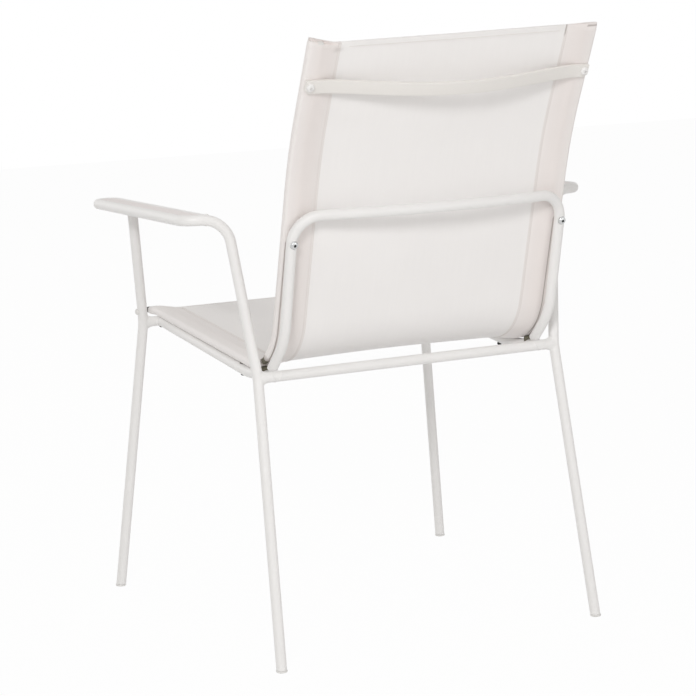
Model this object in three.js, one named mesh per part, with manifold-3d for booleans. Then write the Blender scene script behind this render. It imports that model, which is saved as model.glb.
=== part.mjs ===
// Stackable sling armchair: round steel tube frame, one-piece mesh sling on two bent flat rails.
// Millimetres, +Z up. The chair faces -Y and +X is the sitter's left. Setbacks are measured towards +Y
// from the middle of the four feet, and the finished group is moved so that its origin is the bottom
// centre of its bounding box.
import * as THREE from 'three';
import { mergeVertices } from 'three/addons/utils/BufferGeometryUtils.js';
import Module from 'manifold-3d';

const wasm = await Module();
wasm.setup();

const rad = THREE.MathUtils.degToRad;

// Sizes
// Tube stock
const TUBE_DIAMETER = 15;
const TUBE_WALL = 1.2;
const TUBE_SIDES = 14;
const BORE_SIDES = 6;
const GAP = 0.3; // clearance between pieces that are welded or seated together
const CUT_OVERRUN = 2; // how far a cutting body runs past what it cuts

// Sling across, on which every other width is built
const SLING_WIDTH = 445;
const SLEEVE_DEPTH = 50.5; // outer edge to the sleeve seam
const SEAM_WIDTH = 6; // where the two layers of the sleeve are sewn together
const PANEL_THICKNESS = 2;
const SLEEVE_WALL = 0.8;
const NOTCH_LENGTH = 12;
const NOTCH_DEPTH = 7;
const NOTCH_BEND_SHARE = 0.45; // of the seat bend, from its front

// Crossbars, which run between the kinks of the legs
const FRONT_BAR_HEIGHT = 417;
const SEAT_FALL_DEG = 4.46; // slope of the seat towards the back
const BAR_SPACING = 404; // front crossbar to rear crossbar
const REAR_BAR_LIFT = 11.7; // above the seat's slope through the front crossbar
const FRONT_BAR_MARGIN = 20.7; // from the sling's edge to the kink's centre
const REAR_BAR_MARGIN = 18.3;
const KINK_RADIUS = 90;
const FRONT_BAR_WIDTH = SLING_WIDTH + 2 * FRONT_BAR_MARGIN;
const REAR_BAR_WIDTH = SLING_WIDTH + 2 * REAR_BAR_MARGIN;
const REAR_BAR_HEIGHT = FRONT_BAR_HEIGHT - BAR_SPACING * Math.tan(rad(SEAT_FALL_DEG)) + REAR_BAR_LIFT;

// Feet, from the kink above each
const FRONT_LEG_RAKE = 27.7; // forward
const REAR_LEG_RAKE = 86.3; // backward
const FRONT_LEG_SPLAY = 42.3; // outward
const REAR_LEG_SPLAY = 16.2;
const GLIDE_HEIGHT = 3;
const GLIDE_DIAMETER = 16;
const GLIDE_PLUG_LENGTH = 16;
const FEET_DEPTH = FRONT_LEG_RAKE + BAR_SPACING + REAR_LEG_RAKE;
const FRONT_FEET_WIDTH = FRONT_BAR_WIDTH + 2 * FRONT_LEG_SPLAY;
const REAR_FEET_WIDTH = REAR_BAR_WIDTH + 2 * REAR_LEG_SPLAY;
const FRONT_BAR_SETBACK = FRONT_LEG_RAKE - FEET_DEPTH / 2;
const REAR_BAR_SETBACK = FEET_DEPTH / 2 - REAR_LEG_RAKE;

// Arm loops, measured at the tube's centre line
const ARM_RISE = 195; // above the front crossbar, over the middle of the feet
const ARM_FALL_DEG = 2.46; // drop towards the front
const ARM_OUTSET = 35.5; // the loop's middle outside the top of the rear leg, over the middle of the feet
const ARM_TOE_IN_DEG = 3;
const ARM_LOOP_SPACING = 31.5; // outer run to inner run
const ARM_OVERHANG = 30.2; // ahead of the front crossbar
const ARM_CORNER_ADVANCE = 18.5; // ahead of the top of the rear leg
const ARM_CORNER_RADIUS = 25;
const LEG_TOP_FLARE = 22.9; // outside the kink
const LEG_TOP_ADVANCE = 40.2; // ahead of the rear crossbar
const LEG_TOP_RADIUS = 38;
const FRONT_LEG_LEAN = 45.5; // from the front crossbar back to the leg's top
const RETURN_LAP = 24; // length shared by the loop's bend and its inner run
const TIP_BEND_SHARE = 0.999; // of the half spacing, so that the two bends of the tip stay apart
const BEND_STEP_DEG = 15; // bend per station of a tube
const ARM_HEIGHT = FRONT_BAR_HEIGHT + ARM_RISE;
const LEG_TOP_WIDTH = REAR_BAR_WIDTH + 2 * LEG_TOP_FLARE;
const ARM_WIDTH = LEG_TOP_WIDTH + 2 * ARM_OUTSET;
const LEG_TOP_SETBACK = REAR_BAR_SETBACK - LEG_TOP_ADVANCE;
const ARM_CORNER_SETBACK = LEG_TOP_SETBACK - ARM_CORNER_ADVANCE;
const ARM_TIP_SETBACK = FRONT_BAR_SETBACK - ARM_OVERHANG;
const FRONT_LEG_TOP_SETBACK = FRONT_BAR_SETBACK + FRONT_LEG_LEAN;

// Arm inlay
const INLAY_THICKNESS = 8;
const INLAY_RECESS = 0.6; // below the top of the tubes

// Side tubes under the seat rails
const SIDE_TUBE_INSET = 7.5; // from the sling's edge
const SIDE_TUBE_DIP = 15.6; // the main run aims this far below the rear crossbar
const SIDE_TUBE_RISE_SHARE = 0.174; // of the seat bend's radius, ahead of its centre, where it turns up
const SIDE_TUBE_BEND_RADIUS = 150;

// Sling profile, measured at the fabric's middle plane
const SEAT_OVERHANG = 22; // ahead of the front crossbar
const FRONT_DROOP_DEG = 8; // how far the seat's front turns down
const FRONT_DROOP_ADVANCE = 5; // ahead of the front crossbar, where it turns
const FRONT_DROOP_RADIUS = 60;
const SEAT_CORNER_ADVANCE = 2.3; // ahead of the rear crossbar
const SEAT_BEND_RADIUS = 88;
const LOWER_BACK_LEAN_DEG = 14;
const UPPER_BACK_LEAN_DEG = 23.7;
const BACK_RISE = 457.7; // above the front crossbar
const BACK_BREAK_SHARE = 0.6606; // of the rise from the seat's corner to the top
const BACK_BREAK_RADIUS = 640;
const SLING_BEND_STEP_DEG = 7; // bend per station of the sling and its rails
const BACK_TOP_HEIGHT = FRONT_BAR_HEIGHT + BACK_RISE;
const SEAT_CORNER_SETBACK = REAR_BAR_SETBACK - SEAT_CORNER_ADVANCE;
const SEAT_FRONT_SETBACK = FRONT_BAR_SETBACK - SEAT_OVERHANG;

// Rails and their end plugs
const RAIL_WIDTH = 22;
const RAIL_THICKNESS = 9;
const RAIL_CORNER_RADIUS = 3.5;
const RAIL_CORNER_STEPS = 3;
const FRONT_PLUG_LENGTH = 12;
const TOP_PLUG_LENGTH = 2.5;
const RAIL_TOP_INSET = 12; // below the top of the fabric

// Back hoop
const HOOP_INSET = 9; // from the sling's edge
const HOOP_LEAN_DEG = 12;
const HOOP_TOP_SHARE = 0.7415; // of the rise from the seat's corner to the break in the back
const HOOP_CORNER_RADIUS = 42;
const HOOP_BOW = 27;
const HOOP_FOOT_DEG = 43.2; // from upright
const HOOP_BEND_RADIUS = 95;
const HOOP_FOOT_CLEARANCE = 0.6;
const HOOP_SCREW_DROP = 37.2; // below the hoop's top

// Spreader bar near the top of the back
const SPREADER_DROP = 64.5; // from the top to where it crosses the fabric's middle plane
const SPREADER_INSET = 2.5; // from the sling's edge
const SPREADER_DEPTH = 19.2;
const SPREADER_THICKNESS = 5;
const SPREADER_EDGE_RADIUS = 1.2;
const SPREADER_BOW = 27;
const SPREADER_FLAT = 24; // straight length at each end, on the rail
const SPREADER_EASE_SHARE = 1.5; // how gently the bow runs into its flat ends
const SPREADER_EDGE_STEPS = 2; // facets round each corner of its section

// Fasteners
const SCREW_INSET = 9.5; // from the sling's edge
const SCREW_SHANK_DIAMETER = 5;
const SCREW_BITE = 4; // length inside the rail
const DOME_HEAD_DIAMETER = 12;
const DOME_HEAD_HEIGHT = 3.6;
const SEAT_HEAD_DIAMETER = 6.5;
const SEAT_HEAD_HEIGHT = 2.5;
const SCREW_SIDES = 12;
const HEAD_CROWN_SHARES = [[0, 1], [0.5, 0.9], [0.8, 0.6], [1, 0]]; // of the head's radius and height
const REAR_SCREW_ADVANCE = 105.4; // ahead of the seat's corner
const SPACER_DIAMETER = 10;

// Rubber pieces
const BUFFER_DIAMETER = 12;
const BUFFER_BEND_SHARE = 0.443; // of the seat bend's radius, behind its centre
const BUMPER_RISE = 18; // above the front crossbar
const BUMPER_DIAMETER = 9;
const BUMPER_PROUD = 3.5;

// Materials
const finish = (color, roughness, metalness) => (
  new THREE.MeshStandardMaterial({ color, roughness, metalness }));
const powderCoat = finish(0xece9e5, 0.45, 0);
const slingMesh = finish(0xe6e2df, 0.85, 0);
const inlayPlastic = finish(0xe3d6d2, 0.6, 0);
const darkPlastic = finish(0x2b2b2a, 0.6, 0);
const palePlastic = finish(0xdedcd8, 0.5, 0);
const railMetal = finish(0xd8d6d2, 0.4, 0.6);
const screwSteel = finish(0xb9b9b7, 0.3, 0.9);

// Helpers
const v3 = (x, y, z) => new THREE.Vector3(x, y, z);
const UP = v3(0, 0, 1);

// Stations along a chain of points whose inner corners are rounded to the given radii.
function roundedPath(points, radii, stepDeg) {
  const out = [points[0].clone()];
  for (let i = 1; i < points.length - 1; i += 1) {
    const corner = points[i];
    const back = points[i - 1].clone().sub(corner).normalize();
    const ahead = points[i + 1].clone().sub(corner).normalize();
    const between = back.angleTo(ahead);
    const sweep = Math.PI - between;
    const bisector = back.clone().add(ahead).normalize();
    const centre = corner.clone().addScaledVector(bisector, radii[i - 1] / Math.sin(between / 2));
    const tangent = radii[i - 1] / Math.tan(between / 2);
    const from = corner.clone().addScaledVector(back, tangent).sub(centre);
    const axis = back.clone().negate().cross(ahead).normalize();
    const steps = Math.max(2, Math.ceil(THREE.MathUtils.radToDeg(sweep) / stepDeg));
    for (let k = 0; k <= steps; k += 1) {
      out.push(from.clone().applyAxisAngle(axis, (sweep * k) / steps).add(centre));
    }
  }
  out.push(points[points.length - 1].clone());
  return out;
}

// A curve that visits given stations, one per step of an extrusion.
class StationCurve extends THREE.Curve {
  constructor(stations) {
    super();
    this.stations = stations;
  }

  getPointAt(u) {
    return this.stations[Math.round(u * (this.stations.length - 1))].clone();
  }

  getTangentAt(u) {
    const i = Math.round(u * (this.stations.length - 1));
    const before = this.stations[Math.max(0, i - 1)];
    const here = this.stations[i];
    const after = this.stations[Math.min(this.stations.length - 1, i + 1)];
    const into = here.clone().sub(before).normalize();
    const outOf = after.clone().sub(here).normalize();
    return into.add(outOf).normalize();
  }
}

const ring = (radius, sides) => Array.from({ length: sides }, (_, i) => {
  const angle = (2 * Math.PI * (i + 0.5)) / sides;
  return new THREE.Vector2(radius * Math.cos(angle), radius * Math.sin(angle));
});

function sweep(stations, outline, holes = []) {
  const shape = new THREE.Shape(outline);
  shape.holes = holes.map((points) => new THREE.Path(points));
  return new THREE.ExtrudeGeometry(shape, {
    steps: stations.length - 1,
    extrudePath: new StationCurve(stations),
    bevelEnabled: false,
  });
}

const tubeAlong = (stations) => sweep(
  stations,
  ring(TUBE_DIAMETER / 2, TUBE_SIDES),
  [ring(TUBE_DIAMETER / 2 - TUBE_WALL, BORE_SIDES)],
);

// The same tube without its bore and with the welding gap all round, used to cope its neighbours.
const envelopeOf = (stations) => sweep(stations, ring(TUBE_DIAMETER / 2 + GAP, TUBE_SIDES));

function solidOf(geometry) {
  const bare = geometry.index ? geometry.toNonIndexed() : geometry.clone();
  bare.deleteAttribute('normal');
  bare.deleteAttribute('uv');
  const merged = mergeVertices(bare);
  return new wasm.Manifold(new wasm.Mesh({
    numProp: 3,
    vertProperties: merged.attributes.position.array,
    triVerts: new Uint32Array(merged.index.array),
  }));
}

function geometryOf(solid) {
  const { vertProperties, triVerts } = solid.getMesh();
  const geometry = new THREE.BufferGeometry();
  geometry.setAttribute('position', new THREE.BufferAttribute(new Float32Array(vertProperties), 3));
  geometry.setIndex(new THREE.BufferAttribute(new Uint32Array(triVerts), 1));
  const faceted = geometry.toNonIndexed();
  faceted.computeVertexNormals();
  return faceted;
}

const cut = (geometry, ...tools) => geometryOf(
  tools.reduce((solid, tool) => solid.subtract(solidOf(tool)), solidOf(geometry)),
);
const join = (...geometries) => geometryOf(
  geometries.map(solidOf).reduce((solid, other) => solid.add(other)),
);

// Turns a geometry made along +Z so that it points along a direction from a place.
function aim(geometry, place, direction) {
  geometry.applyQuaternion(new THREE.Quaternion().setFromUnitVectors(UP, direction.clone().normalize()));
  return geometry.translate(place.x, place.y, place.z);
}

function rod(place, direction, length, diameter, sides = SCREW_SIDES) {
  const geometry = new THREE.CylinderGeometry(diameter / 2, diameter / 2, length, sides);
  geometry.rotateX(Math.PI / 2).translate(0, 0, length / 2);
  return aim(geometry, place, direction);
}

const drillOf = (place, direction, length) => rod(
  place.clone().addScaledVector(direction, -CUT_OVERRUN),
  direction,
  length + 2 * CUT_OVERRUN,
  SCREW_SHANK_DIAMETER + 2 * GAP,
);

// Where two lines in the side view cross: from a along da, and from b along db.
function crossingOf(a, da, b, db) {
  const span = b.clone().sub(a);
  const t = (span.y * db.z - span.z * db.y) / (da.y * db.z - da.z * db.y);
  return a.clone().addScaledVector(da, t);
}

// A screw whose head sits on a seat and whose shank runs on along the direction.
function screwAt(seat, direction, grip, headDiameter, headHeight) {
  const crown = HEAD_CROWN_SHARES.map(([across, up]) => [(across * headDiameter) / 2, -up * headHeight]);
  const profile = [
    ...crown,
    [SCREW_SHANK_DIAMETER / 2, 0],
    [SCREW_SHANK_DIAMETER / 2, grip],
    [0, grip],
  ].map(([radius, along]) => new THREE.Vector2(radius, along));
  const geometry = new THREE.LatheGeometry(profile, SCREW_SIDES).rotateX(Math.PI / 2);
  return aim(geometry, seat.clone().addScaledVector(direction, -GAP), direction);
}

const group = new THREE.Group();
function addPiece(name, geometry, material) {
  const piece = new THREE.Mesh(geometry, material);
  piece.name = name;
  group.add(piece);
}

// Frame lines shared by both sides
const alongArm = (setback) => ARM_HEIGHT + setback * Math.tan(rad(ARM_FALL_DEG));
const frontBar = (x) => v3(x, FRONT_BAR_SETBACK, FRONT_BAR_HEIGHT);
const rearBar = (x) => v3(x, REAR_BAR_SETBACK, REAR_BAR_HEIGHT);
const sideNames = [['left', 1], ['right', -1]];

// How far back the inner run of an arm loop reaches the tube that crosses over from the leg.
function meetingSetback(crossing, runX, half) {
  const past = (p) => Math.abs(p.x) - Math.abs(runX(p.y, -half));
  const end = crossing.findIndex((p) => past(p) > 0);
  const before = crossing[end - 1];
  const share = past(before) / (past(before) - past(crossing[end]));
  return THREE.MathUtils.lerp(before.y, crossing[end].y, share);
}

function legAndArm(side) {
  const runX = (setback, offset) => side * (
    ARM_WIDTH / 2 + setback * Math.tan(rad(ARM_TOE_IN_DEG)) + offset / Math.cos(rad(ARM_TOE_IN_DEG)));
  const onArm = (setback, offset) => v3(runX(setback, offset), setback, alongArm(setback));
  const half = ARM_LOOP_SPACING / 2;
  const foot = v3(side * (REAR_FEET_WIDTH / 2), FEET_DEPTH / 2, 0);
  const kink = rearBar(side * (REAR_BAR_WIDTH / 2));
  const legTop = v3(side * (LEG_TOP_WIDTH / 2), LEG_TOP_SETBACK, alongArm(LEG_TOP_SETBACK));
  const corner = onArm(ARM_CORNER_SETBACK, half);
  const lapEnd = onArm(ARM_TIP_SETBACK + half + 2 * RETURN_LAP, -half);
  const tube = roundedPath(
    [foot, kink, legTop, corner, onArm(ARM_TIP_SETBACK, half), onArm(ARM_TIP_SETBACK, -half), lapEnd],
    [KINK_RADIUS, LEG_TOP_RADIUS, ARM_CORNER_RADIUS, half * TIP_BEND_SHARE, half * TIP_BEND_SHARE],
    BEND_STEP_DEG,
  );
  const crossing = roundedPath(
    [kink, legTop, corner, onArm(0, half)],
    [LEG_TOP_RADIUS, ARM_CORNER_RADIUS],
    BEND_STEP_DEG,
  );
  const innerRun = [
    onArm(ARM_TIP_SETBACK + half + RETURN_LAP, -half),
    onArm(meetingSetback(crossing, runX, half), -half),
  ];
  return { foot, kink, tube, crossing, innerRun, onArm, half };
}

// Sling profile shared by all of the sling
const seatAtBar = FRONT_BAR_HEIGHT + TUBE_DIAMETER / 2 + GAP + RAIL_THICKNESS / 2 + GAP + SLEEVE_WALL;
const seatHeight = (setback) => seatAtBar - (setback - FRONT_BAR_SETBACK) * Math.tan(rad(SEAT_FALL_DEG));
const seatCorner = v3(0, SEAT_CORNER_SETBACK, seatHeight(SEAT_CORNER_SETBACK));
const leanPoint = (from, leanDeg, height) => v3(
  0,
  from.y + (height - from.z) * Math.tan(rad(leanDeg)),
  height,
);
const breakHeight = THREE.MathUtils.lerp(seatCorner.z, BACK_TOP_HEIGHT, BACK_BREAK_SHARE);
const backBreak = leanPoint(seatCorner, LOWER_BACK_LEAN_DEG, breakHeight);
const backTop = leanPoint(backBreak, UPPER_BACK_LEAN_DEG, BACK_TOP_HEIGHT);
const droopSetback = FRONT_BAR_SETBACK - FRONT_DROOP_ADVANCE;
const seatTurn = v3(0, droopSetback, seatHeight(droopSetback));
const seatFront = v3(
  0,
  SEAT_FRONT_SETBACK,
  seatTurn.z - (droopSetback - SEAT_FRONT_SETBACK) * Math.tan(rad(FRONT_DROOP_DEG - SEAT_FALL_DEG)),
);
const seatAhead = seatFront.clone().sub(seatTurn).normalize();
const slingLine = roundedPath(
  [seatFront, seatTurn, seatCorner, backBreak, backTop],
  [FRONT_DROOP_RADIUS, SEAT_BEND_RADIUS, BACK_BREAK_RADIUS],
  SLING_BEND_STEP_DEG,
);
const sleeveHalf = RAIL_THICKNESS / 2 + GAP + SLEEVE_WALL;
const railX = SLING_WIDTH / 2 - SLEEVE_WALL - GAP - RAIL_WIDTH / 2;
const lowerBackUp = v3(0, Math.sin(rad(LOWER_BACK_LEAN_DEG)), Math.cos(rad(LOWER_BACK_LEAN_DEG)));
const upperBackUp = v3(0, Math.sin(rad(UPPER_BACK_LEAN_DEG)), Math.cos(rad(UPPER_BACK_LEAN_DEG)));
const behind = (up) => v3(0, up.z, -up.y);
const seatAlong = v3(0, Math.cos(rad(SEAT_FALL_DEG)), -Math.sin(rad(SEAT_FALL_DEG)));
const underSeat = v3(0, -Math.sin(rad(SEAT_FALL_DEG)), -Math.cos(rad(SEAT_FALL_DEG)));

// Half outline of the rail's section grown by a margin, outer edge first, around x = railX.
function railCorners(margin) {
  const halfWidth = RAIL_WIDTH / 2 + margin;
  const halfThick = RAIL_THICKNESS / 2 + margin;
  const radius = RAIL_CORNER_RADIUS + margin;
  const points = [];
  for (const [sx, sy, start] of [[1, -1, -90], [1, 1, 0], [-1, 1, 90], [-1, -1, 180]]) {
    for (let k = 0; k <= RAIL_CORNER_STEPS; k += 1) {
      const angle = rad(start + (90 * k) / RAIL_CORNER_STEPS);
      points.push(new THREE.Vector2(
        railX + sx * (halfWidth - radius) + radius * Math.cos(angle),
        sy * (halfThick - radius) + radius * Math.sin(angle),
      ));
    }
  }
  return points;
}
const outerHalf = (points) => points.slice(0, 2 * (RAIL_CORNER_STEPS + 1));
const mirrored = (points) => points.map((p) => new THREE.Vector2(-p.x, p.y)).reverse();

// Sling
const seamX = SLING_WIDTH / 2 - SLEEVE_DEPTH;
const sleeveInnerX = railX - RAIL_WIDTH / 2;
function slingSection() {
  const outer = outerHalf(railCorners(GAP + SLEEVE_WALL));
  const right = [
    new THREE.Vector2(seamX, -PANEL_THICKNESS / 2),
    new THREE.Vector2(sleeveInnerX, -sleeveHalf),
    ...outer,
    new THREE.Vector2(sleeveInnerX, sleeveHalf),
    new THREE.Vector2(seamX, PANEL_THICKNESS / 2),
  ];
  const pocket = [new THREE.Vector2(seamX + SEAM_WIDTH, 0)].concat(
    new THREE.Vector2(sleeveInnerX, -sleeveHalf + SLEEVE_WALL),
    outerHalf(railCorners(GAP)),
    new THREE.Vector2(sleeveInnerX, sleeveHalf - SLEEVE_WALL),
  );
  return { outline: right.concat(mirrored(right)), pockets: [pocket, mirrored(pocket)] };
}
const section = slingSection();

// The seat bend's own centre, from which the notch, the buffers and the hoop's feet are placed.
const bendTurn = rad(90 + SEAT_FALL_DEG - LOWER_BACK_LEAN_DEG);
const bendTangent = SEAT_BEND_RADIUS * Math.tan(bendTurn / 2);
const bendCentre = seatCorner.clone()
  .addScaledVector(seatAlong, -bendTangent)
  .addScaledVector(underSeat, -SEAT_BEND_RADIUS);
const onBend = (share, radius) => underSeat.clone()
  .applyAxisAngle(v3(1, 0, 0), bendTurn * share)
  .multiplyScalar(radius)
  .add(bendCentre);

const bendHeightAt = (setback) => (
  bendCentre.z - Math.sqrt(SEAT_BEND_RADIUS ** 2 - (setback - bendCentre.y) ** 2));

const notchSize = [NOTCH_DEPTH + CUT_OVERRUN, NOTCH_LENGTH, 2 * sleeveHalf + 2 * CUT_OVERRUN];
const notches = sideNames.map(([, side]) => {
  const place = onBend(NOTCH_BEND_SHARE, SEAT_BEND_RADIUS);
  return new THREE.BoxGeometry(...notchSize)
    .rotateX(bendTurn * NOTCH_BEND_SHARE - rad(SEAT_FALL_DEG))
    .translate(side * (SLING_WIDTH / 2 + CUT_OVERRUN - notchSize[0] / 2), place.y, place.z);
});

// Places of the fasteners
const onLowerBack = (height) => leanPoint(seatCorner, LOWER_BACK_LEAN_DEG, height);
const sideTubeFront = v3(0, FRONT_BAR_SETBACK, FRONT_BAR_HEIGHT);
const sideTubeUnderBar = v3(0, REAR_BAR_SETBACK, REAR_BAR_HEIGHT - SIDE_TUBE_DIP);
const sideTubeAlong = sideTubeUnderBar.clone().sub(sideTubeFront).normalize();
const hoopDown = v3(0, -Math.sin(rad(HOOP_LEAN_DEG)), -Math.cos(rad(HOOP_LEAN_DEG)));
const hoopTop = THREE.MathUtils.lerp(seatCorner.z, breakHeight, HOOP_TOP_SHARE);
const hoopCorner = onLowerBack(hoopTop)
  .addScaledVector(behind(lowerBackUp), sleeveHalf + GAP + TUBE_DIAMETER / 2);
const backAtScrew = onLowerBack(hoopTop - HOOP_SCREW_DROP);
const hoopAtScrew = crossingOf(hoopCorner, hoopDown, backAtScrew, behind(lowerBackUp));
const hoopStandoff = hoopAtScrew.distanceTo(backAtScrew);
const spreaderMiddle = sleeveHalf + GAP + SPREADER_THICKNESS / 2;
const spreaderAtRail = leanPoint(backBreak, UPPER_BACK_LEAN_DEG, BACK_TOP_HEIGHT - SPREADER_DROP)
  .addScaledVector(behind(upperBackUp), spreaderMiddle);
const towardsLowerBack = behind(lowerBackUp).negate();
const towardsUpperBack = behind(upperBackUp).negate();
const upToSeat = underSeat.clone().negate();
const onSeat = (setback) => v3(0, setback, seatHeight(setback));
const rearSeatPoint = onSeat(SEAT_CORNER_SETBACK - REAR_SCREW_ADVANCE);
const frontSeatPoint = onSeat(FRONT_BAR_SETBACK);

// How far below a point of the seat, square to it, the side tube's centre line runs.
const sideTubeBelow = (point) => {
  const normal = v3(0, -sideTubeAlong.z, sideTubeAlong.y);
  return (point.clone().sub(sideTubeFront).dot(normal)) / upToSeat.dot(normal);
};
const railFace = RAIL_THICKNESS / 2;
const screwX = SLING_WIDTH / 2 - SCREW_INSET;
const sideOf = (side, point) => v3(side * screwX, point.y, point.z);

function screwPlaces(side) {
  const rearBelow = sideTubeBelow(rearSeatPoint);
  const frontBelow = seatAtBar - FRONT_BAR_HEIGHT;
  return {
    hoop: {
      direction: towardsLowerBack,
      seat: sideOf(side, hoopAtScrew).addScaledVector(towardsLowerBack, -TUBE_DIAMETER / 2),
      toRail: TUBE_DIAMETER / 2 + hoopStandoff - railFace,
    },
    spreader: {
      direction: towardsUpperBack,
      seat: sideOf(side, spreaderAtRail).addScaledVector(towardsUpperBack, -SPREADER_THICKNESS / 2),
      toRail: SPREADER_THICKNESS / 2 + spreaderMiddle - railFace,
    },
    rearSeat: {
      direction: upToSeat,
      seat: sideOf(side, rearSeatPoint).addScaledVector(upToSeat, -rearBelow - TUBE_DIAMETER / 2),
      toRail: rearBelow + TUBE_DIAMETER / 2 - railFace,
    },
    frontSeat: {
      direction: upToSeat,
      seat: sideOf(side, frontSeatPoint).addScaledVector(upToSeat, -frontBelow - TUBE_DIAMETER / 2),
      toRail: frontBelow + TUBE_DIAMETER / 2 - railFace,
    },
  };
}
const holeOf = ({ seat, direction, toRail }) => drillOf(seat, direction, toRail + SCREW_BITE);
const holesOf = (side) => {
  const places = screwPlaces(side);
  return {
    hoop: holeOf(places.hoop),
    spreader: holeOf(places.spreader),
    rearSeat: holeOf(places.rearSeat),
    frontSeat: holeOf(places.frontSeat),
  };
};
const holes = { left: holesOf(1), right: holesOf(-1) };
const allHoles = (kind) => [holes.left[kind], holes.right[kind]];

// Frame pieces
const arms = { left: legAndArm(1), right: legAndArm(-1) };
const glideTop = GLIDE_HEIGHT + GAP;
const floorDepth = 3 * TUBE_DIAMETER;
const floorSize = [FRONT_FEET_WIDTH + REAR_FEET_WIDTH, 2 * FEET_DEPTH, glideTop + floorDepth];
const floorSlab = new THREE.BoxGeometry(...floorSize).translate(0, 0, (glideTop - floorDepth) / 2);

function frontLegPath(side) {
  const arm = side > 0 ? arms.left : arms.right;
  const foot = v3(side * (FRONT_FEET_WIDTH / 2), -FEET_DEPTH / 2, 0);
  const kink = frontBar(side * (FRONT_BAR_WIDTH / 2));
  const top = arm.onArm(FRONT_LEG_TOP_SETBACK, -arm.half);
  return { foot, kink, top, tube: roundedPath([foot, kink, top], [KINK_RADIUS], BEND_STEP_DEG) };
}
const frontLegs = { left: frontLegPath(1), right: frontLegPath(-1) };

const below = (foot, next) => (
  foot.clone().addScaledVector(next.clone().sub(foot).normalize(), -TUBE_DIAMETER));
const withFootRun = (path) => [below(path[0], path[1]), ...path];

function glide(foot, next) {
  const along = next.clone().sub(foot).normalize();
  const pad = rod(foot, UP, GLIDE_HEIGHT, GLIDE_DIAMETER, TUBE_SIDES);
  const plugDiameter = (TUBE_DIAMETER - 2 * TUBE_WALL) * Math.cos(Math.PI / BORE_SIDES) - 2 * GAP;
  const plugBase = foot.clone().addScaledVector(along, GLIDE_HEIGHT / 2);
  const plug = rod(plugBase, along, GLIDE_PLUG_LENGTH, plugDiameter);
  return join(pad, plug);
}

const rearBarLine = [rearBar(-REAR_BAR_WIDTH / 2), rearBar(REAR_BAR_WIDTH / 2)];
const frontBarLine = [frontBar(-FRONT_BAR_WIDTH / 2), frontBar(FRONT_BAR_WIDTH / 2)];

for (const [name, side] of sideNames) {
  const arm = arms[name];
  const leg = frontLegs[name];
  const armRun = cut(tubeAlong(arm.innerRun), envelopeOf(arm.crossing));
  const armTube = join(tubeAlong(withFootRun(arm.tube)), armRun);
  addPiece(`${name}_rear_leg_and_arm`, cut(armTube, floorSlab), powderCoat);

  const loopEnvelopes = [envelopeOf(arm.tube), envelopeOf(arm.innerRun)];
  const frontLeg = cut(tubeAlong(withFootRun(leg.tube)), floorSlab, ...loopEnvelopes);
  addPiece(`${name}_front_leg`, frontLeg, powderCoat);

  // The inlay fills the loop: its outline is the tube's own centre line, and the tube cuts it back.
  const loop = arm.tube.slice(0, -1).filter((p) => p.z > FRONT_BAR_HEIGHT && p.y < arm.innerRun[1].y - GAP);
  const outline = loop.concat(arm.innerRun[1]).map((p) => new THREE.Vector2(p.x, p.y));
  const inlayTop = TUBE_DIAMETER / 2 - INLAY_RECESS;
  const shear = new THREE.Matrix4().set(
    1, 0, 0, 0,
    0, 1, 0, 0,
    0, Math.tan(rad(ARM_FALL_DEG)), 1, ARM_HEIGHT + inlayTop - INLAY_THICKNESS,
    0, 0, 0, 1,
  );
  const plate = new THREE.ExtrudeGeometry(new THREE.Shape(outline), {
    depth: INLAY_THICKNESS,
    bevelEnabled: false,
  });
  const inlay = cut(plate.applyMatrix4(shear), ...loopEnvelopes, envelopeOf(leg.tube));
  addPiece(`${name}_arm_inlay`, inlay, inlayPlastic);

  const bumperRoot = leg.kink.clone().lerp(leg.top, BUMPER_RISE / (leg.top.z - leg.kink.z));
  const bumperOut = TUBE_DIAMETER / 2 + BUMPER_PROUD - BUMPER_DIAMETER / 2;
  const bumper = new THREE.SphereGeometry(BUMPER_DIAMETER / 2, SCREW_SIDES, SCREW_SIDES / 2)
    .translate(bumperRoot.x + side * bumperOut, bumperRoot.y, bumperRoot.z);
  addPiece(`${name}_stacking_bumper`, cut(bumper, envelopeOf(leg.tube)), palePlastic);

  addPiece(`${name}_rear_foot_glide`, glide(arm.foot, arm.kink), palePlastic);
  addPiece(`${name}_front_foot_glide`, glide(leg.foot, leg.kink), palePlastic);
}

const legEnvelopes = [arms.left, arms.right].map(({ tube }) => envelopeOf(tube));
const frontLegEnvelopes = [frontLegs.left, frontLegs.right].map(({ tube }) => envelopeOf(tube));
addPiece('rear_crossbar', cut(tubeAlong(rearBarLine), ...legEnvelopes), powderCoat);
const frontBarTube = cut(tubeAlong(frontBarLine), ...frontLegEnvelopes, ...allHoles('frontSeat'));
addPiece('front_crossbar', frontBarTube, powderCoat);

// Side tubes
const sideTubeLine = (side) => {
  const x = side * (SLING_WIDTH / 2 - SIDE_TUBE_INSET);
  const riseSetback = bendCentre.y - SEAT_BEND_RADIUS * SIDE_TUBE_RISE_SHARE;
  const turn = sideTubeFront.clone().lerp(sideTubeUnderBar, (riseSetback - FRONT_BAR_SETBACK) / BAR_SPACING);
  return roundedPath(
    [v3(x, sideTubeFront.y, sideTubeFront.z), v3(x, turn.y, turn.z), rearBar(x)],
    [SIDE_TUBE_BEND_RADIUS],
    BEND_STEP_DEG,
  );
};
const frontBarEnvelope = envelopeOf(frontBarLine);
const rearBarEnvelope = envelopeOf(rearBarLine);

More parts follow.
